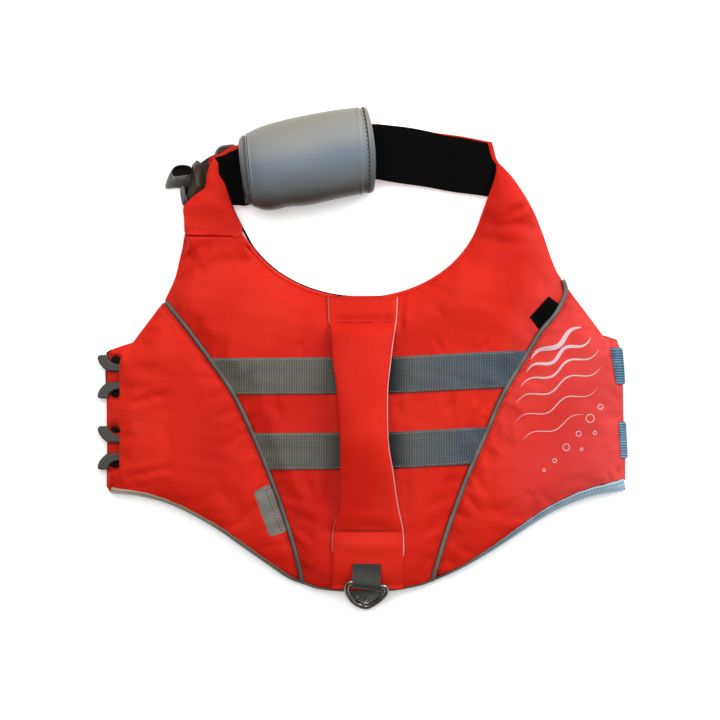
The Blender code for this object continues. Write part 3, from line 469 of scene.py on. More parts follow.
def cut_line(node):
    """The outline that a panel was cut to: the larger of its rims, curved between its
    points except at corners."""
    bm = bmesh.new()
    bm.from_mesh(frame["nodes"][node].data)
    bm.transform(frame["nodes"][node].matrix_world)
    bmesh.ops.remove_doubles(bm, verts=bm.verts, dist=1e-6)
    bm.normal_update()
    loops = []
    for facing in (1, -1):
        rims = {e for e in bm.edges if any(abs(f.normal.z) < 0.3 for f in e.link_faces)
                and any(f.normal.z * facing > 0.3 for f in e.link_faces)}
        while rims:
            first, spot = rims.pop().verts
            loop = [first]
            while spot is not first:
                loop.append(spot)
                edge = next((e for e in spot.link_edges if e in rims), None)
                if edge is None:
                    break
                rims.discard(edge)
                spot = edge.other_vert(spot)
            loops.append([v.co.xy / MM + Vector(PATTERN_ORIGIN) for v in loop])
    bm.free()
    loop = max(loops, key=lambda way: abs(sum(
        a.x * b.y - b.x * a.y for a, b in zip(way, way[1:] + way[:1]))))
    line = []
    for i in range(len(loop)):
        a, b, c, d = (loop[(i + k) % len(loop)] for k in (-1, 0, 1, 2))
        run = c - b
        start, end = [(q - p).normalized() * run.length if (q - m).angle(m - p) < 0.45 else run
                      for p, m, q in ((a, b, c), (b, c, d))]
        parts = max(1, round(run.length / 2))
        for k in range(parts):
            t = k / parts
            line.append(b + start * (t - 2 * t ** 2 + t ** 3) + end * (t ** 3 - t ** 2)
                        + run * (3 * t ** 2 - 2 * t ** 3))
    line = np.array([p[:] for p in line + line[:1]])
    wanted = line.copy()
    gap, along, spot = beside(line, hem_line)
    for i, (x, y) in enumerate(line):
        sewn, shows = (read_table(table, x)[0] for table in (HEM_SEWN, HEM_SHOWS))
        if x < -266.4 and y < -112:       # the left wing's corner, past the tape's end
            wanted[i, 1] -= 9 * min(1.0, (-112 - y) / 13)
        elif x < -262.2 and y < -112:
            wanted[i, 1] = -134 - 7.2 * (x + 266.8) / 4.6
        elif gap[i] < sewn + 3.0 and along[i] > 0.1:      # it goes on under the tape
            wanted[i] += (spot[i] - line[i]) * max(0.0, 1 - (shows - LAP) / max(gap[i], 0.1))
    if node == "shoulder_end_left":       # and the shoulder's end over the back
        near = beside(line, SHOULDER_SEAM)[0] < 1.5
        wanted[near, 1] -= 4.4
    return line, wanted


def hold_outline(panel, line, wanted):
    """Put the sides, which lie near line, on the wanted outline: smoothing drew them in."""
    points, facing = points_of(panel), normals_of(panel)
    gap, along, spot = beside(points[:, :2], line)
    way = spot - points[:, :2]
    flat = np.maximum(np.hypot(*way.T) * np.hypot(*facing[:, :2].T), 1e-6)
    square_on = np.abs((way * facing[:, :2]).sum(axis=1)) / flat
    side = (np.abs(facing[:, 2]) < 0.7) & (gap < 3.5) & (square_on > 0.7) | (gap < 0.4)
    run = np.concatenate(([0.0], np.cumsum(np.hypot(*np.diff(line, axis=0).T))))
    for axis in (0, 1):
        points[side, axis] = np.interp(along[side], run, wanted[:, axis])
    legs = np.diff(wanted[:-1], axis=0, append=wanted[:1])
    turns = np.abs((np.diff(np.arctan2(legs[:, 1], legs[:, 0]), prepend=0) + math.pi)
                   % math.tau - math.pi)
    for corner in wanted[:-1][turns > 0.6]:
        apart = np.hypot(*(points[:, :2] - corner).T)
        drawn = side & (apart < 2.6)
        points[drawn, :2] = corner + (points[drawn, :2] - corner) * 0.35
    set_points(panel, points)


def line_inside(panel):
    """Black lining on the under side."""
    panel.data.materials.append(black_lining)
    for face in panel.data.polygons:
        if face.normal.z < -0.5 and face.center.z < 2.5 * MM:
            face.material_index = 1


def meet_seam(panel, node):
    """Keep the cloth level right up to the shoulder seam, where one laps the other."""
    points, facing = points_of(panel), normals_of(panel)
    gap, _, spot = beside(points[:, :2], SHOULDER_SEAM)
    below = tree_of(frame["nodes"][node])
    for i in np.flatnonzero((gap < 15) & (facing[:, 2] > 0.2)):
        away = points[i, 1] - spot[i, 1]
        away = math.copysign(away, 1 if node == "shoulder_end_left" else -1)
        inside = spot[i, 1] + math.copysign(max(3.0, abs(away)), away)
        x = min(max(points[i, 0], -183.0), -125.0)
        hit = below.ray_cast(on_pattern(x, inside, 200), Vector((0, 0, -1)))[0]
        if hit is not None:
            level = hit.z / MM - (0.25 if node == "back_panel" else 0.0)
            points[i, 2] += (level - points[i, 2]) * min(1.0, (15 - gap[i]) / 6)
    set_points(panel, points)


CREST = 18.8
SEAM_LEVEL = 16.2


def fill_edges(panel):
    """The foam goes nearly up to the hem and the shoulder seam."""
    points = points_of(panel)
    for line, reach in ((hem_line, 42.0), (SHOULDER_SEAM, 34.0)):
        gap = beside(points[:, :2], line)[0]
        near = np.clip((reach - gap) / 18, 0, 1) * np.clip((points[:, 2] - 5) / 3, 0, 1)
        if line is hem_line:              # the back thins to its hem below the handle
            near *= 0.4 + 0.6 * np.clip((np.abs(points[:, 0]) - 60) / 40, 0, 1)
        low = np.clip(points[:, 2], 0.01, CREST)
        points[:, 2] += (CREST * (low / CREST) ** 0.52 - low) * near * near * (3 - 2 * near)
    near = np.clip((30 - gap) / 20, 0, 1) * np.clip((points[:, 2] - 6) / 5, 0, 1)
    level = SEAM_LEVEL - 0.25 * panel.name.startswith("back")
    points[:, 2] += (level - points[:, 2]) * near * near * (3 - 2 * near)
    set_points(panel, points)


def sew_panel(node, name, cap, voxel=3.0):
    panel = copy_of(node, name)
    line, wanted = cut_line(node)
    change(panel, "REMESH", mode="VOXEL", voxel_size=voxel * MM)
    change(panel, "SMOOTH", factor=0.5, iterations=8)
    hold_outline(panel, line, wanted)
    puff(panel, cap=cap, slack=0.02, free_above=0.35)
    change(panel, "SMOOTH", factor=0.5, iterations=5)
    hold_outline(panel, wanted, wanted)
    subdivide(panel)
    hold_outline(panel, wanted, wanted)
    if node in ("back_panel", "shoulder_end_left"):
        meet_seam(panel, node)
    fill_edges(panel)
    points = points_of(panel)
    upper = np.clip((normals_of(panel)[:, 2] - 0.15) / 0.45, 0, 1)
    points[:, 2] += relief(points[:, :2]) * upper
    points[:, 2] = np.maximum(points[:, 2], 0.0)
    set_points(panel, points)
    panel.data.materials.append(red_cloth)
    line_inside(panel)
    panel.data.shade_smooth()
    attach(panel, "jacket")
    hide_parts(node)
    return panel


back = sew_panel("back_panel", "back_cloth", cap=1.6)
left_wing = sew_panel("wing_left", "left_wing_cloth", cap=1.6, voxel=2.2)
right_wing = sew_panel("wing_right", "right_wing_cloth", cap=1.6, voxel=2.2)
back_tree = tree_of(back)


def ground(x, y, tree=None, otherwise=None):
    """Height of the cloth below a point of the pattern."""
    hit = (tree or cloth_tree).ray_cast(on_pattern(x, y, 200), Vector((0, 0, -1)))[0]
    if hit is None:
        return otherwise
    return hit.z / MM


shoulder_end = sew_panel("shoulder_end_left", "left_shoulder_end_cloth", cap=0.8, voxel=2.2)
cloth_tree = tree_of(back, left_wing, right_wing, shoulder_end)


# ------------------------------------------------------------------ piping
# A cord in grey coated tape, sewn into the seam between the back and each wing.  It stands
# half out of the seam.
PIPING_R = 2.5


def tape_finish(name, dark, light, roughness, sheen):
    """Smooth coated tape: streaked along it, with a satin gloss, painted shade down its flanks."""
    made, tree, shader = finish_named(name, Roughness=roughness, Sheen_Weight=sheen,
                                      Sheen_Roughness=0.4)
    place = add(tree, "ShaderNodeTexCoord").outputs["Object"]
    streak = add(tree, "ShaderNodeTexNoise", {"Vector": place, "Scale": 60.0, "Detail": 4.0})
    # Painted shade: the colour darkens where the surface turns from facing up to the side and down.
    facing = add(tree, "ShaderNodeSeparateXYZ",
                 {0: add(tree, "ShaderNodeTexCoord").outputs["Normal"]}).outputs["Z"]
    flank_shade = ramp(tree, facing, (0.25, "#3C3A36"), (0.72, "#FFFFFF"))
    coat = ramp(tree, streak.outputs["Fac"], (0.35, dark), (0.65, light))
    coat_with_flank_shade = add(tree, "ShaderNodeMixRGB", {"Fac": 1.0, "Color1": coat, "Color2": flank_shade},
                 blend_type="MULTIPLY").outputs["Color"]
    tree.links.new(coat_with_flank_shade, shader.inputs["Base Color"])
    bump = add(tree, "ShaderNodeBump", {"Height": plain_weave(tree, place, 0.8),
                                        "Strength": 0.25, "Distance": 0.0001})
    tree.links.new(bump.outputs["Normal"], shader.inputs["Normal"])
    return made


grey_piping = tape_finish("grey_piping_tape", "#504E49", "#63615C", 0.5, 0.06)
shaded_piping = tape_finish("shaded_piping_tape", "#403E39", "#504E49", 0.5, 0.04)


def wrapped(name, around, along, point, closed_run=False):
    """A closed skin: point(u, v) with u once round the section and v along the piece."""
    bm = bmesh.new()
    rows = []
    for j in range(along if closed_run else along + 1):
        rows.append([bm.verts.new(on_pattern(*point(i / around, j / along)))
                     for i in range(around)])
    if closed_run:
        rows.append(rows[0])
    for a, b in zip(rows, rows[1:]):
        for i in range(around):
            k = (i + 1) % around
            bm.faces.new((a[i], a[k], b[k], b[i]))
    if not closed_run:
        for end in (rows[0][::-1], rows[-1]):
            middle = bm.verts.new(sum((v.co for v in end), Vector()) / around)
            for i in range(around):
                bm.faces.new((end[i], end[(i + 1) % around], middle))
    bmesh.ops.recalc_face_normals(bm, faces=bm.faces)
    mesh = bpy.data.meshes.new(name)
    bm.to_mesh(mesh)
    bm.free()
    mesh.shade_smooth()
    piece = bpy.data.objects.new(name, mesh)
    bpy.context.scene.collection.objects.link(piece)
    return piece


def cord_along(name, line, radius, finish, around=12, closed_run=False, flat=1.0):
    """A round or flattened cord along 3-D points of the pattern."""
    count = len(line)

    def point(u, v):
        i = min(int(round(v * (count if closed_run else count - 1))), count)
        here = line[i % count]
        if closed_run:
            run = line[(i + 1) % count] - line[i - 1]
        else:
            run = line[min(i + 1, count - 1)] - line[max(i - 1, 0)]
        side = run.cross(Vector((0, 0, 1))).normalized()
        over = side.cross(run).normalized()
        a = math.tau * u
        return here + side * radius * math.cos(a) + over * radius * flat * math.sin(a)

    piece = wrapped(name, around, count if closed_run else count - 1, point, closed_run)
    piece.data.materials.append(finish)
    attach(piece, "jacket")
    return piece


def seam_height(x, y):
    """Height of the cloth on both sides of a seam."""
    for reach in (4.5, 8.0, 14.0):
        sides = [ground(x + dx, y + dy)
                 for dx, dy in ((-reach, 0), (reach, 0), (0, reach), (0, -reach))]
        sides = [z for z in sides if z is not None]
        if sides:
            return sum(sides) / len(sides)
    return 6.0


def pipe_line(seam):
    fine = smooth(seam, 2.2)
    heights = [seam_height(p.x, p.y) for p in fine]
    level = [sum(heights[max(0, i - 3):i + 4]) / len(heights[max(0, i - 3):i + 4])
             for i in range(len(heights))]
    last = len(fine) - 1                  # its end sinks into the hem
    return [Vector((p.x, p.y, z + 0.5 - 1.3 * max(0, i - last + 4)))
            for i, (p, z) in enumerate(zip(fine, level))]


for side, seam in (("left", left_seam), ("right", right_seam)):
    piping = cord_along(side + "_piping", pipe_line(seam)[1:-1], PIPING_R,
                        shaded_piping if side == "left" else grey_piping, 14)
    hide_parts("piping_" + side)

# ------------------------------------------------------------------ webbing bands
# Two bands of 38 mm grey polyester webbing across the back, lock-stitched along both
# edges.  Thick weft ribs and the warp between them make a fine grid of small squares.
RIB_ACROSS = 2.6                 # between the weft ribs, along the belt
RIB_ALONG = 2.6                  # between the warp cords, across it
WEB = 1.6


def webbing(name, dark, middle, light, across=True, along=True, roughness=0.5, painted_light=None,
            pitches=(RIB_ACROSS, RIB_ALONG)):
    """Webbing's finish: painted_light is (left, right), a painted tone of window light that
    changes over the jacket; with it comes a painted shadow beside the handle's grip.
    """
    made, tree, shader = finish_named(name, Roughness=roughness, Sheen_Weight=0.08,
                                      Sheen_Roughness=0.35, Specular_IOR_Level=0.25)
    place = add(tree, "ShaderNodeUVMap", uv_map="threads").outputs["UV"]
    waves = [add(tree, "ShaderNodeTexWave",
                 {"Vector": place, "Scale": math.pi / 10 / pitch, "Distortion": 0.2,
                  "Detail": 1.0}, bands_direction=axis).outputs["Fac"]
             for axis, used, pitch in (("X", across, pitches[0]), ("Y", along, pitches[1]))
             if used]
    height = waves[0]
    if len(waves) == 2:
        dots = add(tree, "ShaderNodeMath", {0: waves[1], 1: 0.6, 2: 0.4},
                   operation="MULTIPLY_ADD").outputs[0]
        height = add(tree, "ShaderNodeMath", {0: waves[0], 1: dots},
                     operation="MULTIPLY").outputs[0]
    wear_and_sheen = add(tree, "ShaderNodeTexNoise", {"Vector": place, "Scale": 0.09, "Detail": 2.0})
    tone = add(tree, "ShaderNodeMath", {0: wear_and_sheen.outputs["Fac"], 1: 0.5, 2: height},
               operation="MULTIPLY_ADD")
    colour = ramp(tree, tone.outputs[0], (0.3, dark), (0.75, middle), (1.2, light))
    if painted_light:
        # Painted window light: warm on the left, bluish towards the right.
        spot = add(tree, "ShaderNodeTexCoord").outputs["Object"]
        side = add(tree, "ShaderNodeSeparateXYZ", {0: spot}).outputs["X"]
        cloudy = add(tree, "ShaderNodeTexNoise", {"Vector": spot, "Scale": 22.0})
        mixed = add(tree, "ShaderNodeMath", {0: cloudy.outputs["Fac"], 1: 0.12, 2: side},
                    operation="MULTIPLY_ADD").outputs[0]
        window_cast = add(tree, "ShaderNodeMapRange", {"Value": mixed, "From Min": 0.04,
                                                "From Max": 0.2}).outputs["Result"]
        colour = add(tree, "ShaderNodeMixRGB", {"Fac": 1.0, "Color1": colour,
                                                "Color2": ramp(tree, window_cast, (0.0, painted_light[0]),
                                                               (1.0, painted_light[1]))},
                     blend_type="MULTIPLY").outputs["Color"]
        # Painted shadow beside the grip: darker bands on the webbing at both of its edges, deepest on the
        # right.
        by_grip = add(tree, "ShaderNodeMapRange", {"Value": side, "From Min": -0.06,
                                                   "From Max": 0.06}).outputs["Result"]
        painted_grip_shadow = ramp(tree, by_grip, (0.13, "#FFFFFF"), (0.27, "#B4B0AA"), (0.73, "#5A5F66"),
                    (0.79, "#8C9196"), (0.87, "#D8DADC"), (0.95, "#FFFFFF"))
        colour = add(tree, "ShaderNodeMixRGB", {"Fac": 1.0, "Color1": colour, "Color2": painted_grip_shadow},
                     blend_type="MULTIPLY").outputs["Color"]
    tree.links.new(colour, shader.inputs["Base Color"])
    bump = add(tree, "ShaderNodeBump", {"Height": height, "Strength": 0.5,
                                        "Distance": 0.0003})
    tree.links.new(bump.outputs["Normal"], shader.inputs["Normal"])
    return made


grey_webbing = webbing("grey_polyester_webbing", "#484745", "#5A5957", "#6D6C6A",
                       painted_light=("#FFFCEE", "#C8E2FF"))


def strip(name, across, along, point, thickness, finish, size, selvage=0.25, square=False):
    """A strip of cloth from a grid: point(u, v) is its under side, u along, v across, with
    a map named threads that runs in millimetres, square to x where its ends are cut askew.
    Its long edges thin by selvage."""
    bpy.ops.mesh.primitive_grid_add(x_subdivisions=along, y_subdivisions=across, size=1)
    piece = bpy.context.object
    piece.name = piece.data.name = name
    piece.select_set(False)
    mesh = piece.data
    spots = [(v.co.x + 0.5, v.co.y + 0.5) for v in mesh.vertices]
    places = [point(u, w) for u, w in spots]
    for v, place in zip(mesh.vertices, places):
        v.co = on_pattern(*place)
    threads = mesh.uv_layers[0]
    threads.name = "threads"
    for loop in mesh.loops:
        u, w = spots[loop.vertex_index]
        run = places[loop.vertex_index][0] + 200 if square else u * size[0]
        threads.data[loop.index].uv = (run, w * size[1])
    edge = piece.vertex_groups.new(name="edge")
    for i, (u, w) in enumerate(spots):
        near = min(w, 1 - w) * size[1]
        edge.add([i], 1.0 if near > 0.9 else 1.0 - selvage, "REPLACE")
    change(piece, "SOLIDIFY", thickness=thickness * MM, offset=1.0, vertex_group="edge")
    piece.vertex_groups.clear()
    mesh = piece.data
    mesh.materials.append(finish)
    mesh.shade_smooth()
    mesh.set_sharp_from_angle(angle=math.radians(50))
    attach(piece, "jacket")
    return piece


def seam_x(seam, y):
    """Where a seam crosses a height of the pattern."""
    for a, b in zip(seam, seam[1:]):
        if (a.y - y) * (b.y - y) <= 0 and a.y != b.y:
            return a.x + (b.x - a.x) * (y - a.y) / (b.y - a.y)


def lay_band(row):
    name, y_left, y_mid, y_right, x_right = row
    table = ((-150.0, y_left), (30.0, y_mid), (x_right, y_right))

    def point(u, w):
        off = (w - 0.5) * BELT
        left = seam_x(left_seam, y_left + off) + 1.2
        right = seam_x(right_seam, y_right + off) - 1.2
        x = left + u * (right - left)
        y = read_table(table, x)[0] + off
        z = max(ground(x + dx, y, back_tree, 8.0) for dx in (-2, 0, 2))
        return x, y, z + 0.15
    band = strip(name + "_webbing", 22, 130, point, WEB, grey_webbing, (330.0, BELT),
                 square=True)
    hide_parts(name)
    return band


bands = [lay_band(row) for row in BAND_ROWS]
laid_tree = tree_of(back, left_wing, right_wing, shoulder_end, *bands)

# ------------------------------------------------------------------ sewing thread
# Lock stitches of bonded polyester thread: short raised ovals, each one's ends sunk into
# the cloth, 2.5 to 3.2 mm apart.


def thread(name, code):
    made, _, _ = finish_named(name, Base_Color=linear(code), Roughness=0.5,
                              Specular_IOR_Level=0.2)
    return made


red_thread = thread("red_polyester_thread", "#E23A26")
beige_thread = thread("beige_polyester_thread", "#918A79")
dark_thread = thread("dark_grey_thread", "#3A3A3A")
maroon_thread = thread("deep_red_thread", "#8E160D")
# Not thread: a dark finish for cords that are painted shade in folds.
fold_shade = thread("shaded_red_fold", "#6A0F07")


def sew(name, line, finish, tree=None, pitch=3.0, length=2.0, width=0.9, rise=0.32,
        seed=1, miss=0.0):
    """A row of stitches along points of the pattern, lying on what is below."""
    draw = random.Random(seed)
    run, marks = 0.0, []
    for a, b in zip(line, line[1:]):
        a, b = Vector(a[:2]), Vector(b[:2])
        span = (b - a).length
        while run < span:
            marks.append((a.lerp(b, run / span), (b - a).normalized()))
            run += pitch
        run -= span
    bm = bmesh.new()
    for spot, way in marks:
        if draw.random() < miss:
            continue
        turn = math.radians(draw.uniform(-6, 6))
        way = Vector((way.x * math.cos(turn) - way.y * math.sin(turn),
                      way.x * math.sin(turn) + way.y * math.cos(turn)))
        ends = [spot - way * length / 2, spot + way * length / 2]
        heights = [ground(p.x, p.y, tree or laid_tree) for p in ends]
        if None in heights:
            continue
        a, b = [on_pattern(p.x, p.y, z + rise * 0.3) for p, z in zip(ends, heights)]
        along = (b - a).normalized()
        side = along.cross(Vector((0, 0, 1))).normalized()
        up = side.cross(along)
        rings = []
        for t, swell in ((0.0, 0.35), (0.28, 1.0), (0.72, 1.0), (1.0, 0.35)):
            middle = a.lerp(b, t) + up * (rise * MM * (swell - 0.5))
            rings.append([bm.verts.new(middle + (side * math.cos(q) * width / 2
                                                 + up * math.sin(q) * width / 2.4)
                                       * MM * swell)
                          for q in (math.tau * k / 6 for k in range(6))])
        for p, q in zip(rings, rings[1:]):
            for k in range(6):
                bm.faces.new((p[k], p[(k + 1) % 6], q[(k + 1) % 6], q[k]))
        bm.faces.new(rings[0][::-1])
        bm.faces.new(rings[-1])
    bmesh.ops.recalc_face_normals(bm, faces=bm.faces)
    mesh = bpy.data.meshes.new(name)
    bm.to_mesh(mesh)
    bm.free()
    mesh.materials.append(finish)
    mesh.shade_smooth()
    piece = bpy.data.objects.new(name, mesh)
    bpy.context.scene.collection.objects.link(piece)
    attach(piece, "jacket")
    return piece


def offset(line, distance):
    """A line moved sideways, to the left of its run for a positive distance."""
    moved = []
    for i, p in enumerate(line):
        run = (line[min(i + 1, len(line) - 1)] - line[max(i - 1, 0)]).normalized()
        moved.append(Vector((p.x - run.y * distance, p.y + run.x * distance)))
    return moved


sew("right_piping_stitches", offset(right_seam[3:-1], 5.4), maroon_thread, pitch=3.3,
    length=1.6, seed=11)
sew("left_piping_stitches", offset(left_seam[1:-1], -5.4), maroon_thread, pitch=3.3,
    length=1.6, seed=12)
for row in BAND_ROWS:
    for side, label in ((BELT / 2 - 1.9, "top"), (1.9 - BELT / 2, "bottom")):
        line = [p for p in band_line(row, side)
                if seam_x(left_seam, p.y) + 4 < p.x < seam_x(right_seam, p.y) - 4]
        sew(row[0] + "_stitches_" + label, line, beige_thread, pitch=3.1, length=1.6,
            seed=31 + int(side))
sew("left_wing_stitches", [Vector((-246.2, -57.5)), Vector((-215.8, -63.5))], red_thread,
    pitch=3.4, seed=13)

# ------------------------------------------------------------------ carry handle
# One folded strip of red cloth round a foam core, with a thin corded edge on both sides.
# Its flat ends are sewn to the neckline and the hem, and between the two cross seams it
# arches free of the back, so a hand fits under it.
HANDLE = (
    # y,      x_left, x_right
    (66.0, -34.9, 37.3), (62.0, -34.6, 37.0), (38.1, -33.4, 35.4), (20.0, -31.6, 32.4),
    (-3.0, -29.9, 29.6), (-34.7, -25.5, 26.4), (-84.0, -22.2, 27.0), (-114.5, -22.4, 31.6),
    (-151.2, -23.6, 37.0), (-179.9, -29.4, 42.8), (-210.0, -30.2, 43.4),
    (-240.6, -31.0, 43.4))
CROSS_SEAMS = (38.1, -178.4)
FLAP = 3.2
GRIP_PAD = 4.4
GRIP_CROWN = 2.4
GRIP_SEAM = 1.3
GRIP_RISE = 16.0
EDGE_CORD = {"left": 0.6, "right": 0.75}


def ease(t):
    t = max(0.0, min(1.0, t))
    return 1 - (1 - t) ** 2


def blend(t):
    t = max(0.0, min(1.0, t))
    return t * t * (3 - 2 * t)


handle_sides = [smooth([(y, left) for y, left, _ in HANDLE], 4.0),
                smooth([(y, right) for y, _, right in HANDLE], 4.0)]


def handle_edges(y):
    return [read_table([tuple(p) for p in side], y)[0] for side in handle_sides]


def flap_floor(x, y, tree=None):
    """Height of what a flat end lies on, level where the panel's own edge falls away."""
    return max(ground(x, max(min(y, 60.0), -236.0), tree or laid_tree, 5.0), 4.8)


def floor_rows():
    """The height that the grip must clear, evened along the handle."""
    rows = []
    for y in range(-242, 68, 4):
        left, right = handle_edges(y)
        rows.append(max(flap_floor(left + s * (right - left), y)
                        for s in (0.1, 0.3, 0.5, 0.7, 0.9)))
    rows = [max(rows[max(0, i - 3):i + 4]) for i in range(len(rows))]
    for _ in range(3):
        rows = [sum(rows[max(0, i - 3):i + 4]) / len(rows[max(0, i - 3):i + 4])
                for i in range(len(rows))]
    return [(-242 + 4 * i, z) for i, z in enumerate(rows)]


clear_rows = floor_rows()


def handle_middle(y, x):
    """Height of the strip's middle plane, half its thickness, and 1 on the free grip."""
    front, rear = CROSS_SEAMS
    near = min(abs(y - seam) for seam in CROSS_SEAMS)
    if rear < y < front:
        t = (front - y) / (front - rear)
        arch = math.sin(math.pi * t) ** (1.4 if t < 0.5 else 1.9)
        free = blend(min(t * 12, (1 - t) * 2.2))
        seam_pad, pad_reach = (GRIP_SEAM, 13.0) if t < 0.5 else (1.8, 70.0)
        pad = seam_pad + (GRIP_PAD - seam_pad) * ease(near / pad_reach)
        level = read_table(clear_rows, y)[0] * free + flap_floor(x, y, cloth_tree) * (1 - free)
        return level + 0.4 + WEB * free + GRIP_RISE * arch + pad, pad, free
    sunk = (0.75 if y > 0 else 0.3) * math.exp(-(near / 7.0) ** 2)
    half = FLAP / 2 * (1 - sunk)
    return flap_floor(x, y) + 0.3 + half, half, 0.0


def handle_point(u, v):
    y = HANDLE[0][0] + v * (HANDLE[-1][0] - HANDLE[0][0])
    left, right = handle_edges(y)
    a = math.tau * u
    c, s = math.cos(a), math.sin(a)
    across = math.copysign(abs(c) ** 0.66, c)
    x = (left + right) / 2 + (right - left) / 2 * across
    z, half, free = handle_middle(y, x)
    lift = math.copysign(abs(s) ** 0.75, s) * half
    if s > 0:
        near = min(abs(y - seam) for seam in CROSS_SEAMS)
        pleat = math.sin(x * 0.62 + 1.3) + 0.6 * math.sin(x * 1.13 + 0.4)
        lift += 0.3 * pleat * math.exp(-near / 9.0) * blend(near / 3.0) * s
        lift += free * s * (GRIP_CROWN * (1 - across ** 2)
                            + 0.5 * math.sin(y * 0.06 + x * 0.05)
                            + 0.35 * math.sin(y * 0.13 - x * 0.09))
    return x, y, z + lift


handle = wrapped("carry_handle", 48, 170, handle_point)
handle.data.materials.append(red_cloth)
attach(handle, "jacket")
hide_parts("handle_front", "handle_grip", "handle_rear")

# One edge cord in two finishes: the left one darker and browner in painted shade, the right one pink with
# a painted highlight from the window.
edge_tapes = {"left": tape_finish("shaded_edge_cord", "#9C5238", "#AE6248", 0.5, 0.02),
              "right": tape_finish("highlit_edge_cord", "#CC7E78", "#DE9A94", 0.5, 0.02)}
CORD_SHOWS = (
    # side of the strip, ends of the stretches where the cord is rolled outwards
    ("left", ((70, 31), (-160, -206))),
    ("right", ((70, -210),)))
for i, (side, stretches) in enumerate(CORD_SHOWS):
    line = []
    for y in range(66, -240, -3):
        shows = max(blend((top - y) / 8) * blend((y - low) / 8) for top, low in stretches)
        out = -1.9 + 2.3 * shows
        x = handle_edges(y)[i]
        z, half, _ = handle_middle(y, x)
        line.append(Vector((x + (-out, out)[i], y, z - 0.9 * half * (1 - shows))))
    cord_along("handle_cord_" + side, line, EDGE_CORD[side], edge_tapes[side], 8)

handle_tree = tree_of(handle)
for seam, label, shade, start in ((CROSS_SEAMS[0] - 0.4, "front", red_thread, 48.0),
                                  (CROSS_SEAMS[1] + 0.4, "rear", maroon_thread, 8.0)):
    left, right = handle_edges(seam)
    sew("handle_stitches_" + label,
        [Vector((left + start, seam)), Vector((right - 6, seam - 0.5))],
        shade, tree=handle_tree, pitch=3.4, length=2.2, seed=41)
sew("handle_end_stitches", [Vector((-4.6, -209.6)), Vector((21, -210.2))], red_thread,
    tree=handle_tree, pitch=7.0, length=1.7, seed=42)
# Thin dark cords along the cross seams: painted shade in the seams' folds.
for label, y, shade in (("front", CROSS_SEAMS[0] - 0.2, (6.0, 4.0)),
                        ("rear", CROSS_SEAMS[1] + 0.2, (14.0, 18.0))):
    left, right = handle_edges(y)
    span = [left + shade[0] + k * (right - shade[1] - left - shade[0]) / 24 for k in range(25)]
    sunk = [Vector((x, y + 0.3 * math.sin(x * 0.3), ground(x, y, handle_tree, 8.0) - 0.15))
            for x in span]
    cord_along("handle_fold_" + label, sunk, 0.5, fold_shade, 8)

# ------------------------------------------------------------------ edge bindings
# Satin silver tape folded over the hem, widest at the wings' corners, stitched near its
# upper edge.  The neckline is turned in red with the black lining just showing on its left.
NECK_MIDDLE = (-2.0, 170.0)
NECK_HALF = (129.0, 105.0)
NECK_WIDTH = 2.6

silver_tape, tree, shader = finish_named("silver_binding_tape", Roughness=0.42,
                                         Specular_IOR_Level=0.4, Sheen_Weight=0.1)
# Painted light along the hem: pale and warm at the left wing, dark painted shade below the back, a painted
# bluish window reflection at the right wing.
place = add(tree, "ShaderNodeTexCoord").outputs["Object"]
side_to_side = add(tree, "ShaderNodeSeparateXYZ", {0: place}).outputs["X"]
along_hem = add(tree, "ShaderNodeMapRange", {"Value": side_to_side, "From Min": -0.26,
                                             "From Max": 0.26}).outputs["Result"]
tree.links.new(ramp(tree, along_hem, (0.0, "#A3988A"), (0.08, "#7C7464"), (0.22, "#5E5748"),
                    (0.38, "#463F35"), (0.64, "#3F3931"), (0.72, "#575D5B"), (0.8, "#72838E"),
                    (1.0, "#93B1C1")), shader.inputs["Base Color"])
bump = add(tree, "ShaderNodeBump", {"Height": plain_weave(tree, place, 1.0),
                                    "Strength": 0.3, "Distance": 0.00012})
tree.links.new(bump.outputs["Normal"], shader.inputs["Normal"])


def binding(name, line, width, side, finish, proud):
    """Tape folded round an edge: line is the edge, width(x) how far it laps the cloth."""
    def point(u, v):
        i = min(int(round(v * (len(line) - 1))), len(line) - 1)
        run = (line[min(i + 1, len(line) - 1)] - line[max(i - 1, 0)]).normalized()
        inward = Vector((-run.y, run.x)) * side
        reach = width(line[i].x)
        top = (ground(*(line[i] + inward * (reach + 0.8)), cloth_tree, 6.0) + proud)
        profile = ((0.0, 2.6), (0.05, 0.45 * top), (0.22, 0.8 * top), (0.5, 0.98 * top),
                   (0.97, top), (1.0, top - 0.6), (0.9, 1.0), (0.5, 0.4), (0.12, 0.5),
                   (0.02, 1.4))
        t, z = profile[int(round(u * len(profile))) % len(profile)]
        wave = 0.25 * math.sin(v * 210) + 0.2 * math.sin(v * 97 + 1)
        return (*(line[i] + inward * (t * reach + wave * (0.3 < t))), z)
    piece = wrapped(name, 10, len(line) - 1, point)
    subdivide(piece)
    piece.data.shade_smooth()
    piece.data.materials.append(finish)
    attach(piece, "jacket")
    return piece


hem = binding("hem_tape", hem_line, lambda x: read_table(HEM_SHOWS, x)[0], 1, silver_tape, 1.0)
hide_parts("hem_binding")
hem_tree = tree_of(hem)
inner_hem = [p + Vector((-r.y, r.x)) * (read_table(HEM_SHOWS, p.x)[0] * 0.72)
             for p, r in ((hem_line[i], (hem_line[i + 1] - hem_line[i - 1]).normalized())
                          for i in range(1, len(hem_line) - 1))]
for label, part, shade in (("left", [p for p in inner_hem if p.x < -150], beige_thread),
                           ("right", [p for p in inner_hem if p.x >= 130], dark_thread)):
    sew("hem_stitches_" + label, part, shade, tree=hem_tree, pitch=3.4, length=1.8, seed=51)

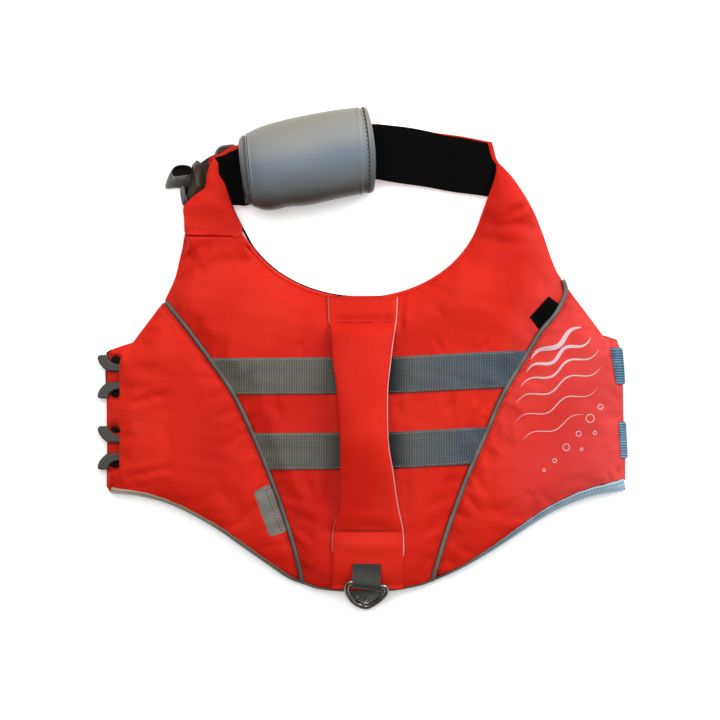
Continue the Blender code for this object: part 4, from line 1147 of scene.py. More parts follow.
# A thin dark cord along the tape's inner edge on the right: painted shade where the red cloth meets the
# tape.
shade_line = [p + Vector((-r.y, r.x)) * (read_table(HEM_SHOWS, p.x)[0] + 0.1)
              for p, r in ((hem_line[i], (hem_line[i + 1] - hem_line[i - 1]).normalized())
                           for i in range(1, len(hem_line) - 1)) if p.x > 96]
cord_along("hem_fold_right", [
    Vector((p.x, p.y, max(ground(p.x, p.y, hem_tree, 0), ground(p.x, p.y, cloth_tree, 6)) + 0.1))
    for p in shade_line], 0.38, fold_shade, 8)

neck_line = []
for step in range(0, 121):
    angle = math.radians(201.5 + (355.5 - 201.5) * step / 120)
    neck_line.append(Vector((NECK_MIDDLE[0] + NECK_HALF[0] * math.cos(angle),
                             NECK_MIDDLE[1] + NECK_HALF[1] * math.sin(angle))))
for i, p in enumerate(neck_line):         # the turning runs out at both ends
    ends = min(i, len(neck_line) - 1 - i) / 8
    out = (p - Vector(NECK_MIDDLE)).normalized()
    neck_line[i] = p + out * NECK_WIDTH * (1 - min(1.0, ends)) ** 2
neck_edge = binding("neckline_turning", neck_line, lambda x: NECK_WIDTH + LAP, -1, red_cloth,
                    0.1)
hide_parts("neckline_binding")

lining_run = smooth([(-136.5, 161.5, 1.8), (-130.0, 147.0, 1.8), (-121.6, 131.0, 1.8)]
                    + [(p.x, p.y, 1.8) for p in neck_line[6:68:4]], 3.0)
for i, p in enumerate(lining_run):
    fade = blend((len(lining_run) - 1 - i) / 16)
    lining_run[i] = Vector((p.x, p.y - 1.6 * (1 - fade), 1.8))
lining_edge = cord_along("neckline_lining_edge", lining_run, 1.1, black_lining, 8)
side_edge = cord_along("left_wing_lining_edge", smooth(
    [(-262.0, 9.5, 1.2), (-266.6, 6.4, 1.2), (-267.7, 1.0, 1.2), (-267.6, -26.0, 1.2),
     (-266.2, -38.0, 1.2)], 4.0), 1.0, black_lining, 8)

# ------------------------------------------------------------------ neck strap
# Red cloth outside and black neoprene inside, turned so that the lining faces up.  The red
# shows as a thin rim where the two are sewn, and where the strap folds under the shoulder.
STRAP = (
    (-153.0, 184.6, 24.8), (-146.0, 187.0, 26.0), (-136.0, 189.6, 28.2), (-131.0, 190.9, 30.4),
    (-122.5, 193.2, 30.2), (-108.0, 197.0, 29.2), (-95.0, 200.0, 28.8), (-64.0, 207.5, 28.8),
    (-25.0, 214.5, 28.8),
    (12.0, 217.8, 28.8), (50.0, 212.6, 28.8), (90.0, 206.2, 28.8),
    (126.0, 200.4, 28.6), (150.0, 196.6, 28.2))
STRAP_END = (
    # v, end of the shell, end of the lining
    (0.0, 140.0, 139.0), (0.25, 147.0, 146.0), (0.5, 149.0, 147.0),
    (0.72, 139.0, 134.5), (1.0, 132.4, 128.0))
SHELL = 2.4
LINING = 2.2
STRAP_LIFT = 4.4
SLEEVE_RIGHT = 10.5


def strap_height(x):
    return STRAP_LIFT * blend((SLEEVE_RIGHT + 66 - x) / 60)


LINING_RIM = (
    # x, width of red cloth that shows past the lining's upper edge
    (-146.0, 2.0), (-136.0, 4.2), (-129.0, 5.0), (-122.0, 3.8), (-110.0, 1.4),
    (12.0, 1.0), (20.0, 0.1), (66.0, 0.1), (82.0, 1.6), (128.0, 1.9), (150.0, 1.2))


def strap_layer(base, trim, column):
    """Under side of one layer of the strap; the lining's edge is trimmed."""
    def point(u, w):
        first = STRAP[0][0] + trim
        last = read_table(STRAP_END, w)[column]
        x = first + u * (last - first)
        y, half = read_table(STRAP, x)
        ahead, behind = read_table(STRAP, x + 2)[0], read_table(STRAP, x - 2)[0]
        slope = (ahead - behind) / 4
        low, high = -half, half
        if trim:
            low, high = -half - 0.3, half - read_table(LINING_RIM, x)[0]
        side = low + w * (high - low)
        wave = 0.35 * math.sin(x * 0.11 + w * 3) * (w > 0.9 or w < 0.1)
        roll = 0.5 * math.sin(x * 0.045 + w * 2.2) * math.sin(math.pi * w)
        return x - side * slope, y + side + wave, strap_height(x) + base + 0.4 + roll * 0.4
    return point


shell = strip("neck_strap_outer", 16, 120, strap_layer(0.0, 0.0, 0), SHELL, red_cloth,
              (315.0, 57.6))
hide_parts("neck_strap_shell")
lining = strip("neck_strap_lining_cloth", 16, 120,
               strap_layer(SHELL + 0.3, 1.0, 1), LINING, black_lining, (312.0, 54.2))
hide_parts("neck_strap_lining")

NECK_BELT = ((-133.0, 204.2), (-138.0, 204.0), (-143.5, 203.0), (-148.6, 200.2),
             (-151.6, 196.4))
belt_run = smooth(NECK_BELT, 2.0)


def on_neck_belt(u, w):
    i = min(int(round(u * (len(belt_run) - 1))), len(belt_run) - 1)
    run = (belt_run[min(i + 1, len(belt_run) - 1)] - belt_run[max(i - 1, 0)]).normalized()
    p = belt_run[i] + Vector((run.y, -run.x)) * (0.5 - w) * BELT
    if p.x < -152:                        # its upper corner is turned under
        p.y = min(p.y, 204.6 + 0.667 * (p.x + 167.3))
    return p.x, p.y, strap_height(p.x) + 0.2 - 0.3 - WEB


warm_web = tape_finish("warm_grey_belt_edge", "#5A4E48", "#6E625B", 0.55, 0.04)
# Painted shade: the belt's run under the shoulder's tip is coloured dark red-brown for the strap's shade
# over it.
shaded_belt_finish = tape_finish("belt_in_painted_shade", "#1E0604", "#2E0B07", 0.7, 0.0)
dark_web = webbing("dark_grey_webbing", "#1B1C19", "#2C2D29", "#3A3B36", across=False,
                   pitches=(2.2, 2.2))
shaded_web = webbing("shaded_webbing", "#0C0B0A", "#1B1816", "#2A2623", across=False)
neck_web = strip("neck_belt_webbing", 18, len(belt_run) - 1, on_neck_belt, WEB, shaded_web,
                 (25.0, BELT))
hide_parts("neck_belt")
FOLD = ((-152.8, 213.6), (-151.6, 217.6), (-148.8, 221.2), (-144.0, 222.9), (-138.0, 223.6),
        (-133.0, 223.6))
fold = cord_along("neck_belt_fold", [Vector((p.x, p.y, 4.2)) for p in smooth(FOLD, 1.5)], 1.3,
                  warm_web, 10)


def on_belt_run(u, w):
    """The belt as it goes from the buckle under the shoulder's tip, in the strap's shade."""
    near = Vector((-170.0, 204.6)).lerp(Vector((-166.5, 176.0)), w)
    far = Vector((-150.5, 215.4)).lerp(Vector((-154.0, 184.0)), w)
    spot = near.lerp(far, u)
    return spot.x, spot.y + 1.6 * math.sin(math.pi * u) * (1 - w), 2.4 + 0.5 * math.sin(u * 9)


run_piece = strip("neck_belt_run", 16, 16, on_belt_run, 1.2, shaded_belt_finish, (18.5, 30.0))

# ------------------------------------------------------------------ float sleeve
# A foam roll in smooth silver-grey coated cloth, wrapped round the strap and closed
# along the back.  Both ends have a turned rim, stitched beside a sunk line.
SLEEVE_TOP = (
    # share of the way from the left end, x, y of the upper outline
    (0.0, -128.2, 227.3), (0.03, -126.0, 231.0), (0.09, -118.9, 235.1), (0.2, -103.8, 241.8),
    (0.4, -75.8, 249.6), (0.62, -44.6, 255.9), (0.86, -13.5, 260.5), (0.95, 0.6, 261.6),
    (0.985, 4.8, 261.3), (1.0, 6.2, 259.4))
SLEEVE_BOTTOM = (
    (0.0, -122.5, 178.5), (0.03, -118.6, 165.4), (0.07, -114.2, 160.3), (0.12, -106.9, 156.8),
    (0.18, -98.6, 155.0), (0.26, -88.3, 155.8), (0.36, -75.8, 158.6), (0.52, -55.0, 160.6),
    (0.74, -23.9, 167.2), (0.9, -3.2, 171.4), (0.96, 8.6, 173.6), (0.985, 12.2, 175.4),
    (1.0, 13.6, 179.0))
SLEEVE_HEIGHT = ((0.0, 27.0), (0.03, 33.0), (0.09, 40.0), (0.2, 45.5), (0.4, 50.0),
                 (0.65, 50.0), (0.86, 46.0), (0.96, 41.0), (1.0, 36.0))
RIM_LINES = (0.066, 0.936)

def coated_cloth(name, *stops):
    """Smooth coated cloth; the stops run from its lower to its upper side on the sleeve,
    as painted light: darker below, a painted bluish sheen across the middle, paler on top.
    """
    made, tree, shader = finish_named(name, Roughness=0.42, Specular_IOR_Level=0.3,
                                      Sheen_Weight=0.04)
    place = add(tree, "ShaderNodeTexCoord").outputs["Object"]
    side = add(tree, "ShaderNodeVectorMath", {0: place, 1: (-0.13, 1.0, 0.0)},
               operation="DOT_PRODUCT").outputs["Value"]
    mottle = add(tree, "ShaderNodeTexNoise", {"Vector": place, "Scale": 12.0, "Detail": 1.0})
    mixed = add(tree, "ShaderNodeMath", {0: mottle.outputs["Fac"], 1: 0.012, 2: side},
                operation="MULTIPLY_ADD").outputs[0]
    span = add(tree, "ShaderNodeMapRange", {"Value": mixed, "From Min": 0.175,
                                            "From Max": 0.265}).outputs["Result"]
    tree.links.new(ramp(tree, span, *stops), shader.inputs["Base Color"])
    grain = add(tree, "ShaderNodeTexNoise", {"Vector": place, "Scale": 1500.0, "Detail": 1.0})
    bump = add(tree, "ShaderNodeBump", {"Height": grain.outputs["Fac"], "Strength": 0.12,
                                        "Distance": 0.0001})
    tree.links.new(bump.outputs["Normal"], shader.inputs["Normal"])
    return made


# Painted light on the sleeve and its rims: painted shade along the lower side, a painted bluish reflection
# across the middle, warmer and paler along the top.
coated = coated_cloth("silver_coated_cloth", (0.0, "#33332F"), (0.08, "#42433F"),
                      (0.2, "#5A5C5D"), (0.4, "#616971"), (0.52, "#69717B"), (0.6, "#767C81"),
                      (0.7, "#828482"), (0.86, "#86847F"), (1.0, "#837F75"))
coated_rim = coated_cloth("coated_cloth_rim", (0.0, "#2A2B28"), (0.2, "#494B4B"),
                          (0.45, "#515659"), (0.62, "#63676B"), (0.8, "#75736E"),
                          (1.0, "#7C766D"))
warm_coated = coated_cloth("warm_grey_coated_cloth", (0.0, "#67635D"), (1.0, "#716D66"))

def curve_reader(rows):
    """Reads a table, curved between its rows, at any share of the way."""
    fine = smooth([(share * 100, *rest) for share, *rest in rows], 1.5)
    return lambda v: read_table([tuple(p) for p in fine], v * 100)


upper_edge, lower_edge = curve_reader(SLEEVE_TOP), curve_reader(SLEEVE_BOTTOM)
crest = curve_reader([(*row, 0.0) for row in SLEEVE_HEIGHT])


def sleeve_section(v):
    """Middle and half of the line across the sleeve, how far its ends bow, its height."""
    top, bottom = Vector(upper_edge(v)), Vector(lower_edge(v))
    bow = 4.2 * max(0.0, 1 - (1 - v) / 0.16) - 1.0 * max(0.0, 1 - v / 0.1)
    return (top + bottom) / 2, (top - bottom) / 2, bow, crest(v)[0]


def sleeve_point(u, v):
    middle, half, bow, height = sleeve_section(v)
    a = math.tau * u
    c, s = math.cos(a), math.sin(a)
    power = 0.86 if s >= 0 else 0.42
    swell = 0.15 * math.sin(9 * v + 5 * u) * math.sin(math.pi * v)
    for line in RIM_LINES:
        inside = (v - line) * (1 if line < 0.5 else -1)
        swell -= 1.1 * math.exp(-(inside / 0.007) ** 2)
        swell += 0.6 * math.exp(-((inside - 0.016) / 0.008) ** 2) + 0.4 * (inside < 0)
    if v < RIM_LINES[0] and 0.36 < u < 0.72:      # the rim's own lapped end
        swell += 0.8
    across = math.copysign(abs(c) ** power, c)
    wide = half * across * (1 + swell / half.length)
    top = (height / 2 + swell * (s > 0)) * (1 + math.copysign(abs(s) ** power, s))
    return middle.x + wide.x + bow * (1 - across ** 2), middle.y + wide.y, top


def passage_point(u, v):
    middle, half, bow, _ = sleeve_section(v)
    y, strap_half = read_table(STRAP, middle.x)
    a = math.tau * u
    c, s = math.cos(a), math.sin(a)
    wide = half.normalized() * (strap_half + 0.9) * math.copysign(abs(c) ** 0.25, c)
    return (middle.x + wide.x, y + wide.y,
            strap_height(middle.x) + 2.9 + 3.2 * math.copysign(abs(s) ** 0.25, s))


def make_sleeve():
    """Outer skin and passage, joined by rolled rims at both ends."""
    around, along = 108, 130
    bm = bmesh.new()
    skins = []
    for point in (sleeve_point, passage_point):
        skins.append([[bm.verts.new(on_pattern(*point(i / around, j / along)))
                       for i in range(around)] for j in range(along + 1)])
    for rows in skins:
        for a, b in zip(rows, rows[1:]):
            for i in range(around):
                k = (i + 1) % around
                bm.faces.new((a[i], a[k], b[k], b[i]))
    for end in (0, -1):
        outer, inner = skins[0][end], skins[1][end]
        middle = [bm.verts.new(p.co.lerp(q.co, 0.5)) for p, q in zip(outer, inner)]
        for a, b in ((outer, middle), (middle, inner)):
            for i in range(around):
                k = (i + 1) % around
                bm.faces.new((a[i], a[k], b[k], b[i]))
    bmesh.ops.recalc_face_normals(bm, faces=bm.faces)
    mesh = bpy.data.meshes.new("float_sleeve")
    bm.to_mesh(mesh)
    bm.free()
    mesh.shade_smooth()
    piece = bpy.data.objects.new("float_sleeve", mesh)
    bpy.context.scene.collection.objects.link(piece)
    return piece


# Where two layers of coated cloth meet, a line of shade and dust.
seam_shade, _, _ = finish_named("shaded_seam", Base_Color=linear("#3A3A36"), Roughness=0.8,
                                Specular_IOR_Level=0.1)
sleeve = make_sleeve()
sleeve.data.materials.append(coated)
sleeve.data.materials.append(coated_rim)
for face in sleeve.data.polygons:         # the outer skin's faces come first, row by row
    v = face.index // 108 / 130
    if face.index >= 108 * 130 or v < 0.06 or v > 0.955:
        face.material_index = 1
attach(sleeve, "jacket")
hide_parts("chin_sleeve")
sleeve_tree = tree_of(sleeve)
for label, v, first, last, radius in (("left", 0.062, 0.5, 0.06, 0.42),
                                      ("left_outer", 0.084, 0.4, 0.08, 0.3),
                                      ("right", 0.957, 0.5, 0.03, 0.62),
                                      ("right_outer", 0.935, 0.49, 0.1, 0.42)):
    spots = [first + (last - first) * k / 40 for k in range(41)]
    sunk = [Vector(sleeve_point(u, v)) + Vector((0, 0, 0.1)) for u in spots]
    cord_along("sleeve_seam_" + label, sunk, radius, seam_shade, 8)
for label, v in (("left", 0.05), ("right", 0.951)):
    middle, half, bow, _ = sleeve_section(v)
    line = [middle + half * 0.97 * t + Vector((bow * (1 - t * t), 0))
            for t in (1 - k / 20 for k in range(41))]
    sew("sleeve_stitches_" + label, line, dark_thread, tree=sleeve_tree, pitch=4.4,
        length=2.6, width=0.9, seed=61)

# ------------------------------------------------------------------ labels
# A folded black satin tab under the right piping and a coated grey patch beside the left
# one, both left blank.
PATCH = ((-95.6, -129.8), (-78.0, -180.2), (-95.8, -185.5), (-112.6, -138.6))
TAG = ((206.4, 57.4), (187.6, 28.4), (175.4, 43.4), (195.0, 65.2))


def label_piece(name, corners, tree, base, thickness, finish, corner=0.0):
    """A label laid on cloth: bilinear between its four corners, corners rounded."""
    p = [Vector(c) for c in corners]
    long = (p[1] - p[0]).length
    wide = (p[3] - p[0]).length

    def point(u, w):
        if corner:
            cu, cw = (u - 0.5) * long, (w - 0.5) * wide
            du, dw = abs(cu) - (long / 2 - corner), abs(cw) - (wide / 2 - corner)
            if du > 0 and dw > 0:
                far = math.hypot(du, dw)
                pull = max(du, dw) / far
                cu = math.copysign(long / 2 - corner + du * pull, cu)
                cw = math.copysign(wide / 2 - corner + dw * pull, cw)
            u, w = cu / long + 0.5, cw / wide + 0.5
        spot = p[0].lerp(p[1], u).lerp(p[3].lerp(p[2], u), w)
        return spot.x, spot.y, ground(spot.x, spot.y, tree, 10.0) + base
    return strip(name, 20, 26, point, thickness, finish, (long, wide), selvage=0.4)


patch = label_piece("side_patch_cloth", (PATCH[0], PATCH[1], PATCH[2], PATCH[3]),
                    cloth_tree, 0.1, 0.8, warm_coated, corner=4.0)
sew("side_patch_stitches", [Vector((-99.6, -137.0)), Vector((-83.6, -180.0))], dark_thread,
    tree=tree_of(patch), pitch=3.4, length=1.5, seed=71)
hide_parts("side_patch")

tag = label_piece("piping_tab_cloth", TAG, cloth_tree, 0.9, 0.9, black_lining)
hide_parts("piping_tag")

# ------------------------------------------------------------------ printed waves
# Silver-pink screen print on the right wing: a few flowing water lines and drops, a
# plain decoration with no lettering.
PRINT = (
    # start, end, swing, waves, width at its middle
    ((177, 0), (229, 33), 3.4, 1.5, 5.0),
    ((172, -14), (239, 22), 3.6, 2.0, 3.6),
    ((166, -29), (247, 9), 3.8, 2.0, 2.2),
    ((161, -46), (250, -8), 4.0, 2.0, 1.5),
    ((160, -66), (246, -30), 3.8, 2.0, 1.1),
    ((168, -84), (232, -58), 3.4, 1.5, 0.9))
DROPS = ((238, -62, 4.2), (249, -50, 2.6), (226, -78, 2.6), (243, -77, 1.8),
         (213, -92, 3.4), (229, -94, 1.4), (201, -106, 2.0), (190, -116, 1.3))

print_ink, _, _ = finish_named("silver_pink_screen_ink", Base_Color=linear("#C9ABB0"),
                               Roughness=0.45)
wing_tree = tree_of(right_wing)


def print_line(name, start, end, swing, waves, width):
    a, b = Vector(start), Vector(end)
    along = b - a
    across = Vector((-along.y, along.x)).normalized()

    def point(u, w):
        middle = a + along * u + across * swing * math.sin(math.tau * waves * u)
        slope = (along + across * swing * math.tau * waves * math.cos(math.tau * waves * u))
        side = Vector((-slope.y, slope.x)).normalized()
        taper = math.sin(math.pi * min(max(u, 0.01), 0.99)) ** 0.6
        spot = middle + side * (w - 0.5) * width * taper
        return spot.x, spot.y, ground(spot.x, spot.y, wing_tree, 10.0) + 0.02
    piece = strip(name, 3, 90, point, 0.12, print_ink, (along.length, width))


for number, row in enumerate(PRINT):
    print_line("print_wave_%d" % (number + 1), *row)
for number, (x, y, radius) in enumerate(DROPS):
    ring = [Vector((x + radius * math.cos(a), y + radius * math.sin(a),
                    ground(x + radius * math.cos(a), y + radius * math.sin(a), wing_tree)
                    + 0.05)) for a in (math.tau * k / 28 for k in range(28))]
    drop = cord_along("print_drop_%d" % (number + 1), ring, 0.5, print_ink, 6, True, 0.4)

# ------------------------------------------------------------------ lead ring and its tab
# A welded D of nickel-plated steel wire in a loop of grey webbing, sewn to the rear end
# of the handle.  It swings in the loop.
WIRE_R = 3.1
RING = (
    (-11.0, -232.4), (21.4, -236.7), (25.2, -239.0), (25.4, -243.4), (21.6, -249.0),
    (13.0, -256.2), (4.0, -259.6), (-7.6, -254.6), (-14.8, -243.6), (-14.6, -235.0))
joint = frame["joints"][0]
BAR_Z = joint["pos_m"][2] / MM
BAR_A, BAR_B = Vector(RING[0]), Vector(RING[1])
BAR_RUN = (BAR_B - BAR_A).normalized()
BAR_ACROSS = Vector((BAR_RUN.y, -BAR_RUN.x))

nickel, tree, shader = finish_named("nickel_plated_steel", Metallic=1.0, Roughness=0.16)
place = add(tree, "ShaderNodeTexCoord").outputs["Object"]
tarnish = add(tree, "ShaderNodeTexNoise", {"Vector": place, "Scale": 220.0, "Detail": 4.0})
tree.links.new(ramp(tree, tarnish.outputs["Fac"], (0.3, "#5C564E"), (0.6, "#8F8B85"),
                    (0.8, "#9C8B74")), shader.inputs["Base Color"])

reach = max((Vector(p) - BAR_A).dot(BAR_ACROSS) for p in RING)
drop_rate = (BAR_Z - WIRE_R - 0.3) / reach
ring_line = [Vector((p.x, p.y, BAR_Z - max(0.0, (p - BAR_A).dot(BAR_ACROSS)) * drop_rate))
             for p in smooth(RING + RING[:1], 1.4)[:-1]]
ring = cord_along("lead_ring", ring_line, WIRE_R, nickel, 20, closed_run=True)
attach(ring, "ring")
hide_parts("d_ring")
for number, (x, y, radius) in enumerate(((-2.4, -250.6, 2.5), (3.7, -251.6, 2.3))):
    eye = [Vector((x + radius * math.cos(a), y + radius * math.sin(a), 5.6))
           for a in (math.tau * k / 24 for k in range(24))]
    eye = cord_along("lead_ring_eye_%d" % (number + 1), eye, 0.8, nickel, 8, True)
    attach(eye, "ring")
stem = cord_along("lead_ring_eye_stem", [Vector(p) for p in (
    (-1.4, -252.6, 5.6), (0.6, -254.4, 5.8), (2.4, -256.4, 6.2), (3.4, -258.6, 6.0))],
    0.9, nickel, 8)
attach(stem, "ring")

TAB_LEFT, TAB_RIGHT, TAB_TOP = -9.5, 19.9, -213.2
LOOP_OUTER = WIRE_R + 0.8 + WEB


def tab_point(u, w):
    """Outer side of the tab: under the bar, round it, and back over the handle's end."""
    x = TAB_LEFT + w * (TAB_RIGHT - TAB_LEFT)
    bar_y = BAR_A.y + (x - BAR_A.x) * BAR_RUN.y / BAR_RUN.x
    if u < 0.1:
        return x, bar_y + 2.5 * (1 - u / 0.1), BAR_Z - LOOP_OUTER
    if u < 0.5:
        turn = math.radians(270 - 180 * (u - 0.1) / 0.4)
        return x, bar_y + LOOP_OUTER * math.cos(turn), BAR_Z + LOOP_OUTER * math.sin(turn)
    s = (u - 0.5) / 0.5
    y = bar_y + s * (TAB_TOP - bar_y)
    rest = ground(x, y, handle_tree, 14.0) + 0.5 + WEB
    return x, y, rest + max(0.0, BAR_Z + LOOP_OUTER - rest) * (1 - blend(s))


tab = strip("ring_tab_webbing", 24, 60, tab_point, WEB, dark_web, (40.0, TAB_RIGHT - TAB_LEFT))
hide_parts("ring_tab")

# A short grey tongue of cloth under the ring; its grey also stands in for the shade inside the ring,
# painted shade.
TONGUE = ((-15.0, -238.6), (25.4, -238.6), (16.0, -256.0), (-7.6, -255.0))


def on_tongue(u, w):
    top = Vector(TONGUE[0]).lerp(Vector(TONGUE[1]), w)
    spot = top.lerp(Vector(TONGUE[3]).lerp(Vector(TONGUE[2]), w), u)
    return spot.x, spot.y, 0.3


tongue_and_shade_finish = tape_finish("grey_tongue_and_shade_cloth", "#5E615C", "#6E726C", 0.6, 0.02)
tongue = strip("ring_tongue_cloth", 14, 14, on_tongue, 0.8, tongue_and_shade_finish, (15.8, 32.0))

# ------------------------------------------------------------------ belly belts
# Two belts of 38 mm webbing come out of slits in the right wing, turn over its edge and
# run back below it to the male plugs.  Their ribs run along the belt.
BELTS = (("upper", -7.4, 260.9, 265.8), ("lower", -85.0, 269.0, 271.2))
BELT_UNDER = 48.0
blue_grey_web = webbing("blue_grey_webbing", "#2F4D62", "#51758D", "#7093AD", across=False,
                        pitches=(2.7, 2.7))
wing_edge_tree = tree_of(right_wing)


def wing_edge(y):
    """x of the wing's edge at a height of the pattern."""
    start = on_pattern(330, y, 4)
    hit = wing_edge_tree.ray_cast(start, Vector((-1, 0, 0)))[0]
    return hit.x / MM + PATTERN_ORIGIN[0]


def lay_belt(name, y, top_x, bottom_x):
    inner = wing_edge(y) - BELT_UNDER
    edge_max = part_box("side_belt_" + name)[1][0] / MM + PATTERN_ORIGIN[0] - WEB - 0.2

    def point(u, w):
        side = y + (w - 0.5) * BELT
        edge = min(wing_edge(side) + 0.5, edge_max)
        slit = bottom_x + w * (top_x - bottom_x)
        rib = 0.16 * math.sin(side * math.tau / 2.7)
        if u < 0.3:
            t = u / 0.3
            x = slit + (edge - 1.5 - slit) * t
            rise = ground(x, side, wing_edge_tree, 6.0)
            return x, side, max(rise, 5.0) + 0.5 - 1.2 * (1 - t) ** 3 + rib
        if u < 0.55:
            t = (u - 0.3) / 0.25
            high = max(ground(edge - 1.5, side, wing_edge_tree, 6.0), 5.0) + 0.5
            turn = math.pi / 2 * t
            return (edge - 1.5 + 2.0 * math.sin(math.pi * t) + rib * math.sin(math.pi * t), side,
                    WEB + 0.3 + (high - WEB - 0.3) * (1 - blend(t)) + rib * math.cos(turn))
        s = (u - 0.55) / 0.45
        return edge - 1.5 - s * (edge - 1.5 - inner - 0.3), side, WEB + 0.3
    belt = strip("side_belt_webbing_" + name, 96, 60, point, WEB, blue_grey_web, (95.0, BELT))
    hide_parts("side_belt_" + name)


for row in BELTS:
    lay_belt(*row)

# ------------------------------------------------------------------ plastic buckles
# Side-release buckles and plugs moulded in warm grey acetal with a fine matt grain.
acetal, tree, shader = finish_named("grey_acetal", Roughness=0.42, IOR=1.48)
place = add(tree, "ShaderNodeTexCoord").outputs["Object"]
flow = add(tree, "ShaderNodeTexNoise", {"Vector": place, "Scale": 30.0, "Detail": 3.0})
tree.links.new(ramp(tree, flow.outputs["Fac"], (0.3, "#282620"), (0.7, "#34322B")),
               shader.inputs["Base Color"])
grit = add(tree, "ShaderNodeTexNoise", {"Vector": place, "Scale": 1800.0, "Detail": 1.0})
bump = add(tree, "ShaderNodeBump", {"Height": grit.outputs["Fac"], "Strength": 0.15,
                                    "Distance": 0.0001})
tree.links.new(bump.outputs["Normal"], shader.inputs["Normal"])
for node in ("belly_buckle_upper", "belly_buckle_lower", "belt_plug_upper",
             "belt_plug_lower"):
    slots = frame["nodes"][node].data.materials
    slots[0] = acetal

# The hollows that the plugs' prongs catch in stay in deep shade.
shaded, _, _ = finish_named("shaded_acetal", Base_Color=linear("#100E0C"), Roughness=0.7,
                            Specular_IOR_Level=0.1)
CATCHES = ((-257.2, -1.6, 5.6, 5.0), (-257.0, -36.4, 5.4, 4.6), (-257.4, -73.0, 5.4, 4.4),
           (-257.6, -109.4, 6.2, 5.0))
for number, (x, y, half_x, half_y) in enumerate(CATCHES):
    def point(u, v):
        size, z = ((1.0, 2.8), (1.0, 4.6), (0.92, 5.2), (0.55, 5.3))[round(v * 3)]
        a = math.tau * u
        return x + half_x * size * math.cos(a), y + half_y * size * math.sin(a), z
    catch = wrapped("buckle_catch_%d" % (number + 1), 24, 3, point)
    catch.data.materials.append(shaded)
    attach(catch, "jacket")

# The neck belt's buckle lies askew: a hooded mouth, the body on edge, and one cheek.
HOOD = (
    (-206.9, 179.9), (-205.2, 184.6), (-201.8, 193.7), (-197.8, 200.1), (-193.8, 203.0),
    (-187.4, 203.9), (-181.0, 202.4), (-177.0, 197.0), (-177.4, 186.0), (-182.0, 179.9),
    (-189.2, 179.1), (-193.7, 179.6), (-204.2, 178.6))
MOUTH = (
    (-198.3, 195.4), (-196.9, 198.8), (-193.7, 201.2), (-188.5, 202.4), (-182.2, 202.0),
    (-178.4, 200.8), (-177.8, 196.4), (-178.6, 193.2), (-184.3, 192.4), (-190.6, 191.2),
    (-195.3, 190.8), (-197.9, 192.7))
BODY = (
    (-172.9, 208.4), (-175.6, 205.8), (-177.8, 202.5), (-178.4, 196.0), (-178.6, 189.0),
    (-180.2, 182.6), (-182.4, 175.0), (-182.6, 168.6), (-176.0, 166.6), (-166.0, 172.0),
    (-160.6, 180.0), (-163.2, 186.0), (-165.4, 193.2), (-166.8, 201.7), (-169.6, 206.8))
BODY_RIDGE = [(-173.8, 203.0), (-175.0, 197.6), (-171.8, 182.0)]
CHEEK = (
    (-189.8, 181.5), (-190.0, 174.0), (-189.2, 168.4), (-188.0, 162.4), (-185.4, 160.4),
    (-182.2, 163.4), (-182.2, 167.6), (-184.2, 173.4), (-185.6, 181.5))
HOLLOW = (
    (-187.6, 184.0), (-179.6, 184.0), (-178.0, 174.0), (-170.0, 172.4), (-172.0, 167.4),
    (-181.6, 163.4), (-185.0, 170.0))
# The same grey acetal with painted light: pale at the hood on the left, darker and browner to the right in
# painted shade under the strap.
moulded, tree, shader = finish_named("warm_grey_acetal", Roughness=0.38, IOR=1.48)
place = add(tree, "ShaderNodeTexCoord").outputs["Object"]
side = add(tree, "ShaderNodeSeparateXYZ", {0: place}).outputs["X"]
span = add(tree, "ShaderNodeMapRange", {"Value": side, "From Min": -0.21,
                                        "From Max": -0.166}).outputs["Result"]
tree.links.new(ramp(tree, span, (0.0, "#75746E"), (0.3, "#4A4843"), (0.55, "#312E2A"),
                    (0.7, "#3C342A"), (1.0, "#33291F")), shader.inputs["Base Color"])


def ring_of(outline, centre, count):
    """The outline met by rays from a centre inside it, evenly turned."""
    edge = smooth(outline + outline[:1], 1.0)
    angles = [math.atan2(p.y - centre[1], p.x - centre[0]) for p in edge]
    ring = []
    for k in range(count):
        a = -math.pi + math.tau * k / count
        near = min(range(len(edge)), key=lambda i: abs(math.remainder(angles[i] - a, math.tau)))
        ring.append(edge[near].copy())
    return ring


def mould(bm, rings, centre, shaded_from=99):
    """A closed body through rings of (outline, height), its top closed at the centre."""
    rows = [[bm.verts.new(on_pattern(p.x, p.y, z)) for p in ring] for ring, z in rings]
    count = len(rows[0])
    for j, (a, b) in enumerate(zip(rows, rows[1:])):
        for i in range(count):
            k = (i + 1) % count
            face = bm.faces.new((a[i], a[k], b[k], b[i]))
            face.material_index = int(j >= shaded_from)
    for row, z, turn in ((rows[0], rings[0][1], -1), (rows[-1], rings[-1][1], 1)):
        middle = bm.verts.new(on_pattern(*centre, z))
        for i in range(count):
            face = bm.faces.new((row[i], row[(i + 1) % count], middle)[::turn])
            face.material_index = int(turn > 0 and shaded_from < 99)


def drawn_in(ring, centre, amount):
    centre = Vector(centre)
    return [p.lerp(centre, min(0.9, amount / max((centre - p).length, 0.1))) for p in ring]


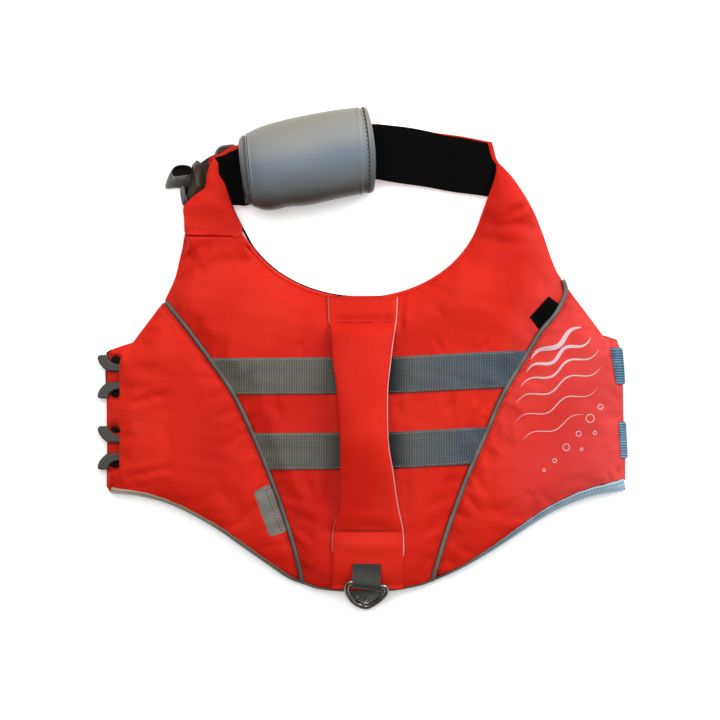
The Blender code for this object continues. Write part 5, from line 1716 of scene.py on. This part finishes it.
def roof(ring, ridge, share):
    """The ring drawn part of the way to a ridge line inside it."""
    _, _, spot = beside(np.array([p[:2] for p in ring]), ridge)
    return [p.lerp(Vector(q), share) for p, q in zip(ring, spot)]


bm = bmesh.new()
centre = (-187.8, 197.2)
outer, mouth = ring_of(HOOD, centre, 48), ring_of(MOUTH, centre, 48)
between = lambda t: [p.lerp(q, t) for p, q in zip(outer, mouth)]
# The mouth's inside takes the shaded finish: painted shade in the hollow.
mould(bm, [(outer, 1.0), (outer, 3.0), (between(0.2), 6.0), (between(0.55), 8.2),
           (between(0.85), 9.3), (mouth, 9.0), (drawn_in(mouth, centre, 0.5), 7.6),
           (drawn_in(mouth, centre, 0.8), 2.4), (drawn_in(mouth, centre, 3.0), 2.0)],
      centre, shaded_from=5)
centre = (-173.0, 187.0)
ring = ring_of(BODY, centre, 60)
mould(bm, [(drawn_in(ring, centre, 0.8), 0.5), (ring, 1.5), (ring, 4.2),
           (roof(ring, BODY_RIDGE, 0.12), 5.6), (roof(ring, BODY_RIDGE, 0.9), 9.6),
           (roof(ring, BODY_RIDGE, 0.95), 10.0)], centre)
centre = (-186.4, 172.4)
ring = ring_of(CHEEK, centre, 36)
mould(bm, [(drawn_in(ring, centre, 0.6), 0.5), (ring, 1.5), (ring, 4.6),
           (drawn_in(ring, centre, 0.7), 5.8), (drawn_in(ring, centre, 1.6), 6.2)], centre)
# A dark plate between the cheek and the body: painted shade in the gap between them.
centre = (-181.0, 174.0)
ring = ring_of(HOLLOW, centre, 36)
mould(bm, [(ring, 0.3), (ring, 1.2)], centre, shaded_from=0)
bmesh.ops.recalc_face_normals(bm, faces=bm.faces)
mesh = bpy.data.meshes.new("neck_buckle_moulding")
bm.to_mesh(mesh)
bm.free()
mesh.materials.append(moulded)
mesh.materials.append(shaded)
mesh.shade_smooth()
mesh.set_sharp_from_angle(angle=math.radians(28))
neck_buckle = bpy.data.objects.new("neck_buckle_moulding", mesh)
bpy.context.scene.collection.objects.link(neck_buckle)
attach(neck_buckle, "jacket")
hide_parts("neck_buckle")
